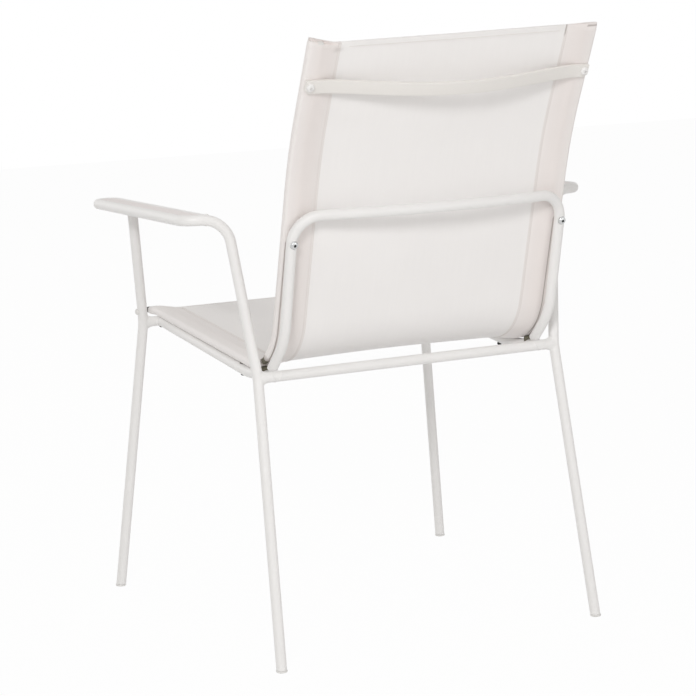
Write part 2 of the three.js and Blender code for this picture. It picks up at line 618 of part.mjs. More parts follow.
// Back hoop
const footAlong = v3(0, -Math.sin(rad(HOOP_FOOT_DEG)), -Math.cos(rad(HOOP_FOOT_DEG)));
const footNormal = v3(0, -footAlong.z, footAlong.y);
const footDistance = SEAT_BEND_RADIUS + sleeveHalf + GAP + TUBE_DIAMETER / 2 + HOOP_FOOT_CLEARANCE;
const footLinePoint = bendCentre.clone().addScaledVector(footNormal, footDistance);
const hoopFootCorner = crossingOf(hoopAtScrew, hoopDown, footLinePoint, footAlong);
const barFromFootLine = rearBar(0).sub(footLinePoint).dot(footAlong);
const hoopFootEnd = footLinePoint.clone().addScaledVector(footAlong, barFromFootLine);
const hoopHalf = SLING_WIDTH / 2 - HOOP_INSET;
const bowRadius = (hoopHalf ** 2 + HOOP_BOW ** 2) / (2 * HOOP_BOW);
const bowAt = (x) => v3(
  x,
  hoopCorner.y + HOOP_BOW - (bowRadius - Math.sqrt(bowRadius ** 2 - x ** 2)),
  hoopCorner.z,
);
const bowHalfAngle = Math.asin(hoopHalf / bowRadius);
const bowShares = [0.72, 0.55, 0.37, 0.18, 0];
const bowPoints = bowShares.map((share) => bowAt(bowRadius * Math.sin(bowHalfAngle * share)));
function hoopHalfPath(side) {
  const at = (p) => v3(side * hoopHalf, p.y, p.z);
  const bowStart = v3(side * bowPoints[0].x, bowPoints[0].y, bowPoints[0].z);
  return roundedPath(
    [at(hoopFootEnd), at(hoopFootCorner), at(hoopCorner), bowStart],
    [HOOP_BEND_RADIUS, HOOP_CORNER_RADIUS],
    BEND_STEP_DEG,
  );
}
const bowMiddle = bowPoints.slice(1).concat(bowPoints.slice(1, -1).reverse().map((p) => v3(-p.x, p.y, p.z)));
const hoopLine = [...hoopHalfPath(1), ...bowMiddle, ...hoopHalfPath(-1).reverse()];
addPiece('back_hoop', cut(tubeAlong(hoopLine), rearBarEnvelope, ...allHoles('hoop')), powderCoat);

const sideTubeCopes = [frontBarEnvelope, rearBarEnvelope, envelopeOf(hoopLine)];
for (const [name, side] of sideNames) {
  const tube = cut(tubeAlong(sideTubeLine(side)), ...sideTubeCopes, holes[name].rearSeat);
  addPiece(`${name}_side_tube`, tube, powderCoat);
}

// Rails, plugs and sling
const railHoles = (name) => Object.values(holes[name]);
const shifted = (points, side) => points.map((p) => new THREE.Vector2(-side * p.x, p.y));
function railSection(side) {
  const points = shifted(railCorners(0), side);
  return side > 0 ? points.reverse() : points;
}
const frontPlugLine = [
  seatFront.clone().addScaledVector(seatAhead, FRONT_PLUG_LENGTH),
  seatFront.clone().addScaledVector(seatAhead, GAP),
];
const railTop = backTop.clone().addScaledVector(upperBackUp, -RAIL_TOP_INSET);
const railLine = [...slingLine.slice(0, -1), railTop];
const topPlugLine = [
  railTop.clone().addScaledVector(upperBackUp, GAP),
  railTop.clone().addScaledVector(upperBackUp, TOP_PLUG_LENGTH),
];
for (const [name, side] of sideNames) {
  const outline = railSection(side);
  addPiece(`${name}_sling_rail`, cut(sweep(railLine, outline), ...railHoles(name)), railMetal);
  addPiece(`${name}_front_rail_plug`, sweep(frontPlugLine, outline), darkPlastic);
  addPiece(`${name}_top_rail_plug`, sweep(topPlugLine, outline), palePlastic);
}
const slingSweep = sweep(slingLine, section.outline, section.pockets);
const slingHoles = [...railHoles('left'), ...railHoles('right')];
addPiece('sling_fabric', cut(slingSweep, ...notches, ...slingHoles), slingMesh);

// Spreader bar
const spreaderHalf = SLING_WIDTH / 2 - SPREADER_INSET;
const bowHalf = spreaderHalf - SPREADER_FLAT;
const spreaderShares = [1, 0.88, 0.74, 0.58, 0.4, 0.2, 0];
const spreaderAt = (x) => {
  const bow = SPREADER_BOW * (1 - Math.min(1, Math.abs(x) / bowHalf) ** 2) ** SPREADER_EASE_SHARE;
  const place = spreaderAtRail.clone().addScaledVector(behind(upperBackUp), bow);
  return v3(x, place.y, place.z);
};
const bowPlaces = spreaderShares.map((share) => spreaderAt(share * bowHalf));
const spreaderSide = [spreaderAt(spreaderHalf), ...bowPlaces];
const spreaderLine = spreaderSide.concat(
  spreaderSide.slice(0, -1).reverse().map((p) => v3(-p.x, p.y, p.z)),
);
// A flat bar's section with its corners rounded, its long side along the fabric's slope.
function flatSection(depth, thickness, radius) {
  const points = [];
  for (const [sx, sy, start] of [[1, -1, -90], [1, 1, 0], [-1, 1, 90], [-1, -1, 180]]) {
    for (let k = 0; k <= SPREADER_EDGE_STEPS; k += 1) {
      const angle = rad(start + (90 * k) / SPREADER_EDGE_STEPS);
      points.push(new THREE.Vector2(
        sx * (depth / 2 - radius) + radius * Math.cos(angle),
        sy * (thickness / 2 - radius) + radius * Math.sin(angle),
      ));
    }
  }
  return points;
}
// Stations cross from +X to -X, so the section is laid out in the upward and backward directions.
function strap(stations, outline, up) {
  const back = behind(up);
  const count = outline.length;
  const positions = [];
  stations.forEach((station, i) => {
    const before = stations[Math.max(0, i - 1)];
    const after = stations[Math.min(stations.length - 1, i + 1)];
    const along = after.clone().sub(before).normalize();
    const across = up.clone().cross(along).normalize();
    const stretch = 1 / Math.abs(across.dot(back));
    outline.forEach((p) => {
      const vertex = station.clone().addScaledVector(up, p.x).addScaledVector(back, p.y * stretch);
      positions.push(vertex.x, vertex.y, vertex.z);
    });
  });
  const index = [];
  for (let i = 0; i < stations.length - 1; i += 1) {
    for (let k = 0; k < count; k += 1) {
      const a = i * count + k;
      const b = i * count + ((k + 1) % count);
      index.push(a, b, a + count, b, b + count, a + count);
    }
  }
  const last = (stations.length - 1) * count;
  for (const [a, b, c] of THREE.ShapeUtils.triangulateShape(outline, [])) {
    index.push(a, c, b);
    index.push(last + a, last + b, last + c);
  }
  const geometry = new THREE.BufferGeometry();
  geometry.setAttribute('position', new THREE.Float32BufferAttribute(positions, 3));
  geometry.setIndex(index);
  return geometry;
}
const spreaderSection = flatSection(SPREADER_DEPTH, SPREADER_THICKNESS, SPREADER_EDGE_RADIUS);
const spreader = strap(spreaderLine, spreaderSection, upperBackUp);
addPiece('spreader_bar', cut(spreader, ...allHoles('spreader')), powderCoat);

// Screws, spacers and buffers
const sleeveUnderside = sleeveHalf + GAP;
const bufferSetback = bendCentre.y + SEAT_BEND_RADIUS * BUFFER_BEND_SHARE;
const slingEnvelope = sweep(slingLine, [
  [-SLING_WIDTH / 2, -sleeveUnderside],
  [SLING_WIDTH / 2, -sleeveUnderside],
  [SLING_WIDTH / 2, sleeveUnderside],
  [-SLING_WIDTH / 2, sleeveUnderside],
].map(([x, y]) => new THREE.Vector2(x, y)));
for (const [name, side] of sideNames) {
  const places = screwPlaces(side);
  const grip = (place) => place.toRail + SCREW_BITE;
  const head = [DOME_HEAD_DIAMETER, DOME_HEAD_HEIGHT];
  const seatHead = [SEAT_HEAD_DIAMETER, SEAT_HEAD_HEIGHT];
  const screw = (place, size) => screwAt(place.seat, place.direction, grip(place), ...size);
  addPiece(`${name}_hoop_screw`, screw(places.hoop, head), screwSteel);
  addPiece(`${name}_spreader_screw`, screw(places.spreader, head), powderCoat);
  addPiece(`${name}_rear_seat_screw`, screw(places.rearSeat, seatHead), darkPlastic);
  addPiece(`${name}_front_seat_screw`, screw(places.frontSeat, seatHead), darkPlastic);

  const sideLine = sideTubeLine(side);
  const sideEnvelope = envelopeOf(sideLine);
  const spacerBase = sideOf(side, rearSeatPoint).addScaledVector(upToSeat, -sideTubeBelow(rearSeatPoint));
  const spacerReach = sideTubeBelow(rearSeatPoint) - sleeveUnderside;
  const spacer = rod(spacerBase, upToSeat, spacerReach, SPACER_DIAMETER);
  addPiece(`${name}_seat_spacer`, cut(spacer, sideEnvelope, holes[name].rearSeat), darkPlastic);

  const [riseStart, riseEnd] = sideLine.slice(-2);
  const riseShare = (bufferSetback - riseStart.y) / (riseEnd.y - riseStart.y);
  const bufferBase = riseStart.clone().lerp(riseEnd, riseShare);
  const buffer = rod(bufferBase, UP, bendHeightAt(bufferSetback) - bufferBase.z, BUFFER_DIAMETER);
  addPiece(`${name}_rear_buffer`, cut(buffer, sideEnvelope, slingEnvelope), darkPlastic);
}

// Origin at the bottom centre of the box
const box = new THREE.Box3().setFromObject(group);
group.position.set(0, -(box.min.y + box.max.y) / 2, -box.min.z);

export default group;
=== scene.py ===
# Looks for the stackable sling armchair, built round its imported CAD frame.
# Lengths are millimetres with setbacks from the middle of the feet, as in the part's source; to_row() turns
# a point into the frame's metres.
import math

import bpy
from mathutils import Matrix, Quaternion, Vector, noise


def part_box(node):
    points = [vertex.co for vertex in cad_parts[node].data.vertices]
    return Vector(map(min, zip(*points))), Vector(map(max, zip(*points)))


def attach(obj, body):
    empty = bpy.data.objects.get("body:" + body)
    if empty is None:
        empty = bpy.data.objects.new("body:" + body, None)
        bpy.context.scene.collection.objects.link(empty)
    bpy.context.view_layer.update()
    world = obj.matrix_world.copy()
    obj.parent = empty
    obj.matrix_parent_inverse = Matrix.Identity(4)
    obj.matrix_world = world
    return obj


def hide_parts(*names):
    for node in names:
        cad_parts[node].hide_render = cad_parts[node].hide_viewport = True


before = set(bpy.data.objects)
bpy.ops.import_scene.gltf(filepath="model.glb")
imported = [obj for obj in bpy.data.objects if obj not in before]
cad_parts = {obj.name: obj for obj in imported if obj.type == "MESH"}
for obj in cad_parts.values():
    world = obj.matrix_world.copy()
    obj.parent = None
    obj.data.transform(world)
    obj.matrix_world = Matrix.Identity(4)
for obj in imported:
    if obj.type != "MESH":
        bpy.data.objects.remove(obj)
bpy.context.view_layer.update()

# Sizes, the same as the part's own
MM = 0.001
TUBE_RADIUS = 7.5
SLING_HALF = 222.5
SLEEVE_DEPTH = 50.5
FRONT_BAR_HEIGHT = 417.0
SEAT_FALL = math.radians(4.46)
BAR_SPACING = 404.0
KINK_RADIUS = 90.0
FRONT_BAR_HALF = SLING_HALF + 20.7
REAR_BAR_HALF = SLING_HALF + 18.3
REAR_BAR_HEIGHT = FRONT_BAR_HEIGHT - BAR_SPACING * math.tan(SEAT_FALL) + 11.7
FRONT_LEG_RAKE = 27.7
REAR_LEG_RAKE = 86.3
FRONT_FOOT_HALF = FRONT_BAR_HALF + 42.3
REAR_FOOT_HALF = REAR_BAR_HALF + 16.2
FEET_HALF_DEPTH = (FRONT_LEG_RAKE + BAR_SPACING + REAR_LEG_RAKE) / 2
FRONT_BAR_SETBACK = FRONT_LEG_RAKE - FEET_HALF_DEPTH
REAR_BAR_SETBACK = FEET_HALF_DEPTH - REAR_LEG_RAKE
GLIDE_HEIGHT = 3.0
GLIDE_RADIUS = 8.0
ARM_HEIGHT = FRONT_BAR_HEIGHT + 195.0
ARM_FALL = math.radians(2.46)
ARM_TOE_IN = math.radians(3.0)
LEG_TOP_HALF = REAR_BAR_HALF + 22.9
ARM_HALF = LEG_TOP_HALF + 35.5
LOOP_HALF = 15.75
LEG_TOP_SETBACK = REAR_BAR_SETBACK - 40.2
ARM_CORNER_SETBACK = LEG_TOP_SETBACK - 18.5
ARM_TIP_SETBACK = FRONT_BAR_SETBACK - 30.2
ARM_CORNER_RADIUS = 25.0
LEG_TOP_RADIUS = 38.0
FRONT_LEG_TOP_SETBACK = FRONT_BAR_SETBACK + 45.5
INLAY_THICKNESS = 8.0
INLAY_RECESS = 0.6
SIDE_TUBE_X = SLING_HALF - 7.5
RAIL_WIDTH = 22.0
RAIL_THICKNESS = 9.0
RAIL_CORNER = 3.5
RAIL_TOP_INSET = 12.0
GAP = 0.3
SLEEVE_WALL = 0.8
RAIL_X = SLING_HALF - SLEEVE_WALL - GAP - RAIL_WIDTH / 2
SLEEVE_HALF = RAIL_THICKNESS / 2 + GAP + SLEEVE_WALL
SEAT_AT_BAR = FRONT_BAR_HEIGHT + TUBE_RADIUS + GAP + SLEEVE_HALF
SEAT_CORNER_SETBACK = REAR_BAR_SETBACK - 2.3
SEAT_FRONT_SETBACK = FRONT_BAR_SETBACK - 22.0
FRONT_DROOP = math.radians(8.0)
FRONT_DROOP_SETBACK = FRONT_BAR_SETBACK - 5.0
FRONT_DROOP_RADIUS = 60.0
SEAT_BEND_RADIUS = 88.0
LOWER_LEAN = math.radians(14.0)
UPPER_LEAN = math.radians(23.7)
BACK_TOP = FRONT_BAR_HEIGHT + 457.7
BREAK_SHARE = 0.6606
BREAK_RADIUS = 640.0
HOOP_HALF = SLING_HALF - 9.0
HOOP_LEAN = math.radians(12.0)
HOOP_TOP_SHARE = 0.7415
HOOP_CORNER_RADIUS = 42.0
HOOP_BOW = 27.0
HOOP_FOOT = math.radians(43.2)
HOOP_BEND_RADIUS = 95.0
HOOP_SCREW_DROP = 37.2
SPREADER_DROP = 64.5
SPREADER_HALF = SLING_HALF - 2.5
SPREADER_DEPTH = 19.2
SPREADER_THICKNESS = 5.0
SPREADER_EDGE = 1.0
SPREADER_BOW = 27.0
SPREADER_FLAT = 24.0
SCREW_X = SLING_HALF - 9.5
REAR_SCREW_ADVANCE = 105.4
BUFFER_BEND_SHARE = 0.443
SIDE_TUBE_DIP = 15.6
SIDE_TUBE_RISE_SHARE = 0.174
SIDE_TUBE_BEND_RADIUS = 150.0
DOME_RADIUS = 6.0
DOME_HEIGHT = 3.6
DOME_SOCKET = 2.2
SEAT_SCREW_RADIUS = 3.6
SEAT_SCREW_HEIGHT = 3.5
SEAT_SCREW_SOCKET = 1.5
SCREW_SINK = 0.2
SPACER_RADIUS = 5.0
BUFFER_RADIUS = 6.0
BUMPER_RISE = 18.0
BUMPER_RADIUS = 4.5
BUMPER_REACH = 11.0

# Sizes of the welds and of the sewing, which only this script has
WELD = 1.3
ARM_WELD = 1.0
LEG_WELD = 1.2
HOOP_WELD = 0.7
SIDE_WELD = 0.6
FILLET_GROWTH = 3.4
FILLET_REACH = 17.0
STITCH_PITCH = 3.3
STITCH_LENGTH = 2.4
THREAD_RADIUS = 0.34

low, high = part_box("rear_crossbar")
SHIFT = (low.y + high.y) / 2 / MM - REAR_BAR_SETBACK
SIDES = (("left", 1), ("right", -1))


def to_row(p):
    return Vector((p[0], p[1] + SHIFT, p[2])) * MM


# Materials
def lin(r, g, b):
    """A colour read off an sRGB picture, as the linear values that shaders take."""
    shares = (r / 255, g / 255, b / 255)
    return tuple(c / 12.92 if c <= 0.04045 else ((c + 0.055) / 1.055) ** 2.4 for c in shares) + (1.0,)


class Shader:
    """A node material with a Principled surface and short calls to wire it."""

    def __init__(self, name, color, roughness, metallic=0.0, specular=0.5):
        self.material = bpy.data.materials.new(name)
        self.material.use_nodes = True
        self.nodes = self.material.node_tree.nodes
        self.links = self.material.node_tree.links
        self.surface = self.nodes["Principled BSDF"]
        self.surface.inputs["Base Color"].default_value = color
        self.surface.inputs["Roughness"].default_value = roughness
        self.surface.inputs["Metallic"].default_value = metallic
        self.surface.inputs["Specular IOR Level"].default_value = specular
        self.color = color
        self.where = self.nodes.new("ShaderNodeTexCoord").outputs["Object"]

    def link(self, output, target):
        self.links.new(output, target)

    def math(self, operation, a, b=None):
        node = self.nodes.new("ShaderNodeMath")
        node.operation = operation
        for socket, value in zip(node.inputs, (a, b)):
            if value is None:
                continue
            if isinstance(value, (int, float)):
                socket.default_value = value
            else:
                self.link(value, socket)
        return node.outputs[0]

    def noise(self, scale, detail=2.0, vector=None, stretch=None):
        node = self.nodes.new("ShaderNodeTexNoise")
        node.inputs["Scale"].default_value = scale
        node.inputs["Detail"].default_value = detail
        source = vector or self.where
        if stretch:
            mapping = self.nodes.new("ShaderNodeMapping")
            mapping.inputs["Scale"].default_value = stretch
            self.link(source, mapping.inputs["Vector"])
            source = mapping.outputs[0]
        self.link(source, node.inputs["Vector"])
        return node.outputs["Fac"]

    def tint(self, factor, dark, light):
        """Colours the surface from dark to light shares of its base colour along a 0 to 1 value."""
        ramp = self.nodes.new("ShaderNodeMapRange")
        ramp.inputs["To Min"].default_value = dark
        ramp.inputs["To Max"].default_value = light
        self.link(factor, ramp.inputs["Value"])
        mix = self.nodes.new("ShaderNodeMix")
        mix.data_type = "RGBA"
        mix.blend_type = "MULTIPLY"
        mix.inputs["Factor"].default_value = 1.0
        mix.inputs["A"].default_value = self.color
        self.link(ramp.outputs[0], mix.inputs["B"])
        return mix.outputs["Result"]

    def attribute(self, name):
        node = self.nodes.new("ShaderNodeAttribute")
        node.attribute_name = name
        return node.outputs["Fac"]

    def blend(self, factor, color, multiplier):
        """Multiplies a colour by another one where the factor is 1."""
        mix = self.nodes.new("ShaderNodeMix")
        mix.data_type = "RGBA"
        mix.blend_type = "MULTIPLY"
        self.link(factor, mix.inputs["Factor"])
        self.link(color, mix.inputs["A"])
        mix.inputs["B"].default_value = multiplier
        return mix.outputs["Result"]

    def roughen(self, factor, low, high):
        ramp = self.nodes.new("ShaderNodeMapRange")
        ramp.inputs["To Min"].default_value = low
        ramp.inputs["To Max"].default_value = high
        self.link(factor, ramp.inputs["Value"])
        self.link(ramp.outputs[0], self.surface.inputs["Roughness"])

    def bump(self, height, distance, strength=1.0):
        node = self.nodes.new("ShaderNodeBump")
        node.inputs["Distance"].default_value = distance
        node.inputs["Strength"].default_value = strength
        self.link(height, node.inputs["Height"])
        self.link(node.outputs[0], self.surface.inputs["Normal"])


def powder_coat(color):
    s = Shader("powder_coat", color, 0.42)
    s.link(s.tint(s.noise(9.0, 3.0), 0.985, 1.0), s.surface.inputs["Base Color"])
    s.roughen(s.noise(60.0, 3.0), 0.36, 0.5)
    s.bump(s.noise(1400.0, 2.0), 0.00006, 0.5)
    return s.material


def sling_mesh():
    s = Shader("sling_mesh", lin(250, 248, 247), 0.62, specular=0.3)
    uv = s.nodes.new("ShaderNodeUVMap")
    uv.uv_map = "weave"
    split = s.nodes.new("ShaderNodeSeparateXYZ")
    s.link(uv.outputs[0], split.inputs[0])
    across = s.math("SINE", s.math("MULTIPLY", split.outputs[0], math.pi / YARN_PITCH))
    along = s.math("SINE", s.math("MULTIPLY", split.outputs[1], math.pi / YARN_PITCH))
    pillow = s.math("POWER", s.math("ABSOLUTE", s.math("MULTIPLY", across, along)), 0.6)
    streaks = s.noise(1.0, 2.0, uv.outputs[0], (0.35, 0.012, 1.0))
    clouds = s.noise(1.0, 2.0, uv.outputs[0], (0.009, 0.009, 1.0))
    tone = s.math("ADD", s.math("MULTIPLY", pillow, 0.5), s.math("MULTIPLY", streaks, 0.3))
    tone = s.math("ADD", tone, s.math("MULTIPLY", clouds, 0.35))
    sleeve, painted_shade = s.attribute("sleeve"), s.attribute("painted_shade")
    cloth = s.tint(tone, 0.93, 1.02)
    cloth = s.blend(sleeve, cloth, SLEEVE_TONE)
    # Painted shade: darkens the cloth at the creases, notches, open ends and seams marked on the mesh.
    cloth = s.blend(painted_shade, cloth, PAINTED_SHADE_TONE)
    s.link(cloth, s.surface.inputs["Base Color"])
    s.roughen(pillow, 0.78, 0.5)
    s.bump(pillow, 0.00018, 0.7)
    return s.material


def thread():
    s = Shader("sewing_thread", lin(226, 219, 214), 0.7, specular=0.3)
    twist = s.noise(2600.0, 1.0)
    s.link(s.tint(twist, 0.86, 1.04), s.surface.inputs["Base Color"])
    s.bump(twist, 0.00008, 0.6)
    return s.material


def arm_inlay():
    s = Shader("arm_inlay", lin(244, 238, 237), 0.5, specular=0.35)
    grain = s.noise(60.0, 4.0, None, (14.0, 1.0, 14.0))
    s.link(s.tint(grain, 0.93, 1.03), s.surface.inputs["Base Color"])
    s.roughen(grain, 0.5, 0.62)
    s.bump(grain, 0.0001, 0.5)
    return s.material


def coated_rail():
    s = Shader("rail_metal", lin(226, 223, 219), 0.4, 0.15)
    drawn = s.noise(120.0, 3.0, None, (8.0, 0.6, 0.6))
    s.link(s.tint(drawn, 0.95, 1.02), s.surface.inputs["Base Color"])
    s.roughen(drawn, 0.34, 0.48)
    s.bump(drawn, 0.00004, 0.4)
    return s.material


def moulded(name, color, roughness):
    s = Shader(name, color, roughness, specular=0.4)
    grain = s.noise(900.0, 3.0)
    s.link(s.tint(grain, 0.85, 1.1), s.surface.inputs["Base Color"])
    s.roughen(grain, roughness - 0.08, roughness + 0.1)
    s.bump(grain, 0.00006, 0.6)
    return s.material


def screw_steel(name, color, roughness, metallic):
    s = Shader(name, color, roughness, metallic)
    turned = s.noise(700.0, 3.0)
    # Painted shade: the socket's recess is coloured near black.
    metal = s.blend(s.attribute("socket"), s.tint(turned, 0.9, 1.05), (0.12, 0.12, 0.12, 1.0))
    s.link(metal, s.surface.inputs["Base Color"])
    s.roughen(turned, roughness - 0.06, roughness + 0.1)
    s.bump(turned, 0.00003, 0.4)
    return s.material


YARN_PITCH = 1.25
SLEEVE_TONE = (0.93, 0.89, 0.875, 1.0)
# The tone and strengths below paint shade into the cloth: painted shadow at the creases beside the hoop, in
# the sleeves' notches and open ends, the slit, the lip, the top rim and a dimple beside the seam; the seam
# lines are darkened too.
PAINTED_SHADE_TONE = (0.34, 0.30, 0.28, 1.0)
SEAM_SHADE = 0.12
PUCKER_SHADE = 0.35
CREASE_SHADE = 0.78
RIM_SHADE = 0.3
NOTCH_SHADE = 0.8
NOTCH_EDGE_SHADE = 0.42
SLIT_SHADE = 0.8
LIP_SHADE = 0.7
SEAT_TINT = 0.45
WHITE = powder_coat(lin(241, 240, 239))
# The strap's powder coat is a darker copy of the frame's white: painted shade.
SHADED_STRAP_WHITE = powder_coat(lin(236, 233, 229))
MESH = sling_mesh()
THREAD = thread()
INLAY = arm_inlay()
RAIL = coated_rail()
PLASTIC = moulded("dark_plastic", lin(62, 59, 56), 0.55)
SPACER = moulded("dark_plastic", lin(132, 129, 126), 0.6)
PALE = moulded("pale_plastic", lin(232, 231, 229), 0.45)
RUBBER = moulded("dark_rubber", lin(104, 101, 86), 0.75)
STEEL = screw_steel("screw_steel", lin(205, 206, 206), 0.16, 0.95)
BLACK = screw_steel("black_screw", lin(24, 24, 23), 0.6, 0.0)


# Mesh helpers
def piece(name, verts, faces, material, replaced=(), slot=None, sharp=40.0, uv=None, marks=None):
    mesh = bpy.data.meshes.new(name)
    mesh.from_pydata([to_row(v) for v in verts], [], faces)
    mesh.validate()
    mesh.shade_smooth()
    mesh.set_sharp_from_angle(angle=math.radians(sharp))
    if uv:
        layer = mesh.uv_layers.new(name="weave")
        for loop in mesh.loops:
            layer.data[loop.index].uv = uv[loop.vertex_index]
    for mark, values in (marks or {}).items():
        mesh.attributes.new(mark, "FLOAT", "POINT").data.foreach_set("value", values)
    mesh.materials.append(material)
    obj = bpy.data.objects.new(name, mesh)
    bpy.context.scene.collection.objects.link(obj)
    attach(obj, "root")
    if replaced:
        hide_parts(*replaced)
    return obj


def rounded_path(points, radii, step_deg=4.0):
    """Stations along a chain of points whose inner corners are rounded."""
    out = [points[0].copy()]
    for i in range(1, len(points) - 1):
        corner = points[i]
        back = (points[i - 1] - corner).normalized()
        ahead = (points[i + 1] - corner).normalized()
        between = back.angle(ahead)
        sweep = math.pi - between
        centre = corner + (back + ahead).normalized() * (radii[i - 1] / math.sin(between / 2))
        start = corner + back * (radii[i - 1] / math.tan(between / 2)) - centre
        axis = (-back).cross(ahead).normalized()
        steps = max(2, math.ceil(math.degrees(sweep) / step_deg))
        for k in range(steps + 1):
            out.append(centre + Quaternion(axis, sweep * k / steps) @ start)
    out.append(points[-1].copy())
    return out


def directions(stations):
    out = []
    for i, here in enumerate(stations):
        into = (here - stations[i - 1]).normalized() if i else Vector()
        onward = (stations[i + 1] - here).normalized() if i < len(stations) - 1 else Vector()
        out.append((into + onward).normalized())
    return out


def ring_frames(stations):
    """Two directions square to the path at each station, carried along it without twist."""
    along = directions(stations)
    first = along[0].orthogonal().normalized()
    frames = [(first, along[0].cross(first))]
    for a, b in zip(along, along[1:]):
        turn = a.rotation_difference(b)
        u = (turn @ frames[-1][0]).normalized()
        frames.append((u, b.cross(u)))
    return along, frames


def tube_mesh(stations, radius=TUBE_RADIUS, sides=28, cuts=(None, None), closed=False):
    """A round tube along stations. cuts may give a height at which an end is cut level."""
    along, frames = ring_frames(stations)
    verts, faces = [], []
    for i, (here, (u, v)) in enumerate(zip(stations, frames)):
        level = cuts[0] if i == 0 else cuts[1] if i == len(stations) - 1 else None
        for k in range(sides):
            angle = 2 * math.pi * k / sides
            p = here + (u * math.cos(angle) + v * math.sin(angle)) * radius
            if level is not None:
                p = p + along[i] * ((level - p.z) / along[i].z)
            verts.append(p)
    count = len(stations)
    for i in range(count if closed else count - 1):
        a, b = i * sides, ((i + 1) % count) * sides
        for k in range(sides):
            n = (k + 1) % sides
            faces.append((a + k, a + n, b + n, b + k))
    if not closed:
        faces.append(tuple(reversed(range(sides))))
        faces.append(tuple((count - 1) * sides + k for k in range(sides)))
    return verts, faces


def merged(*meshes):
    verts, faces = [], []
    for more_verts, more_faces in meshes:
        base = len(verts)
        verts.extend(more_verts)
        faces.extend(tuple(base + i for i in f) for f in more_faces)
    return verts, faces


def bead(origin, direction, across, size=WELD, steps=40):
    """A weld bead where a tube that leaves origin meets the tube that runs through origin along across."""
    direction, across = direction.normalized(), across.normalized()
    u = direction.orthogonal().normalized()
    v = direction.cross(u)
    rest = direction - across * direction.dot(across)
    ring = []
    for k in range(steps):
        angle = 2 * math.pi * k / steps
        offset = (u * math.cos(angle) + v * math.sin(angle)) * TUBE_RADIUS
        flat = offset - across * offset.dot(across)
        a, b, c = rest.length_squared, 2 * flat.dot(rest), flat.length_squared - TUBE_RADIUS**2
        root = math.sqrt(max(0.0, b * b - 4 * a * c))
        ring.append(origin + offset + direction * ((-b + root) / (2 * a)))
    return tube_mesh(ring, size, 8, closed=True)


def fillet(origin, direction, across, steps=36, rows=8):
    """The smooth weld skirt that widens a tube along the line it is welded to."""
    direction = direction.normalized()
    lift = (across - direction * across.dot(direction)).normalized()
    level = direction.cross(lift)
    verts, faces = [], []
    for row in range(rows + 1):
        share = row / rows
        for k in range(steps):
            angle = 2 * math.pi * k / steps
            up = (TUBE_RADIUS + 0.05 + FILLET_GROWTH * (1 - share) ** 2.2) * math.cos(angle)
            out = (TUBE_RADIUS + 0.05 * share) * math.sin(angle)
            start = math.sqrt(max(0.0, TUBE_RADIUS**2 - out**2)) - 1.5
            run = start + (FILLET_REACH - start) * share
            verts.append(origin + direction * run + lift * up + level * out)
    for row in range(rows):
        for k in range(steps):
            n = (k + 1) % steps
            a, b = row * steps, (row + 1) * steps
            faces.append((a + k, a + n, b + n, b + k))
    faces.append(tuple(reversed(range(steps))))
    faces.append(tuple(rows * steps + k for k in range(steps)))
    return verts, faces


def lathe(base, direction, profile, steps=28):
    """A turned piece: profile is (radius, height along direction), closed on the axis at both ends."""
    turn = Vector((0, 0, 1)).rotation_difference(direction.normalized())
    verts, faces, rows = [], [], []
    for radius, height in profile:
        if radius < 1e-6:
            rows.append([len(verts)])
            verts.append(base + turn @ Vector((0, 0, height)))
            continue
        rows.append(list(range(len(verts), len(verts) + steps)))
        for k in range(steps):
            angle = 2 * math.pi * k / steps
            verts.append(base + turn @ Vector((radius * math.cos(angle), radius * math.sin(angle), height)))
    for a, b in zip(rows, rows[1:]):
        for k in range(steps):
            n = (k + 1) % steps
            quad = (a[k % len(a)], a[n % len(a)], b[n % len(b)], b[k % len(b)])
            corners = tuple(dict.fromkeys(quad))
            if len(corners) > 2:
                faces.append(corners)
    return verts, faces


def domed_screw(seat, outward, radius, height, socket):
    """A domed head with a hexagon socket, its underside on seat, and the marks where painted shade darkens
    the socket.
    """
    turn = Vector((0, 0, 1)).rotation_difference(outward.normalized())
    sides = 30
    rows = [(1.0, 0.0), (1.0, 0.12), (0.97, 0.3), (0.88, 0.58), (0.74, 0.8), (0.6, 0.92)]
    verts, faces = [seat.copy()], []
    for share, lift in rows:
        for k in range(sides):
            angle = 2 * math.pi * k / sides
            flat = Vector((radius * share * math.cos(angle), radius * share * math.sin(angle), height * lift))
            verts.append(seat + turn @ flat)
    for depth in (0.97, 0.35):
        for k in range(sides):
            angle = 2 * math.pi * k / sides
            wedge = (angle % (math.pi / 3)) - math.pi / 6
            reach = socket * math.cos(math.pi / 6) / math.cos(wedge)
            flat = Vector((reach * math.cos(angle), reach * math.sin(angle), height * depth))
            verts.append(seat + turn @ flat)
    verts.append(seat + turn @ Vector((0, 0, height * 0.25)))
    for k in range(sides):
        n = (k + 1) % sides
        faces.append((0, 1 + n, 1 + k))
        for row in range(len(rows) + 1):
            a, b = 1 + row * sides, 1 + (row + 1) * sides
            faces.append((a + k, a + n, b + n, b + k))
        last = 1 + (len(rows) + 1) * sides
        faces.append((last + k, last + n, len(verts) - 1))
    painted_socket_shade = [1.0 if i >= 1 + (len(rows) + 1) * sides else 0.0 for i in range(len(verts))]
    return verts, faces, {"socket": painted_socket_shade}


# Frame tubes
def arm_height(setback):
    return ARM_HEIGHT + setback * math.tan(ARM_FALL)


def on_arm(side, setback, offset):
    x = ARM_HALF + setback * math.tan(ARM_TOE_IN) + offset / math.cos(ARM_TOE_IN)
    return Vector((side * x, setback, arm_height(setback)))


def rear_bar(x):
    return Vector((x, REAR_BAR_SETBACK, REAR_BAR_HEIGHT))


def front_bar(x):
    return Vector((x, FRONT_BAR_SETBACK, FRONT_BAR_HEIGHT))


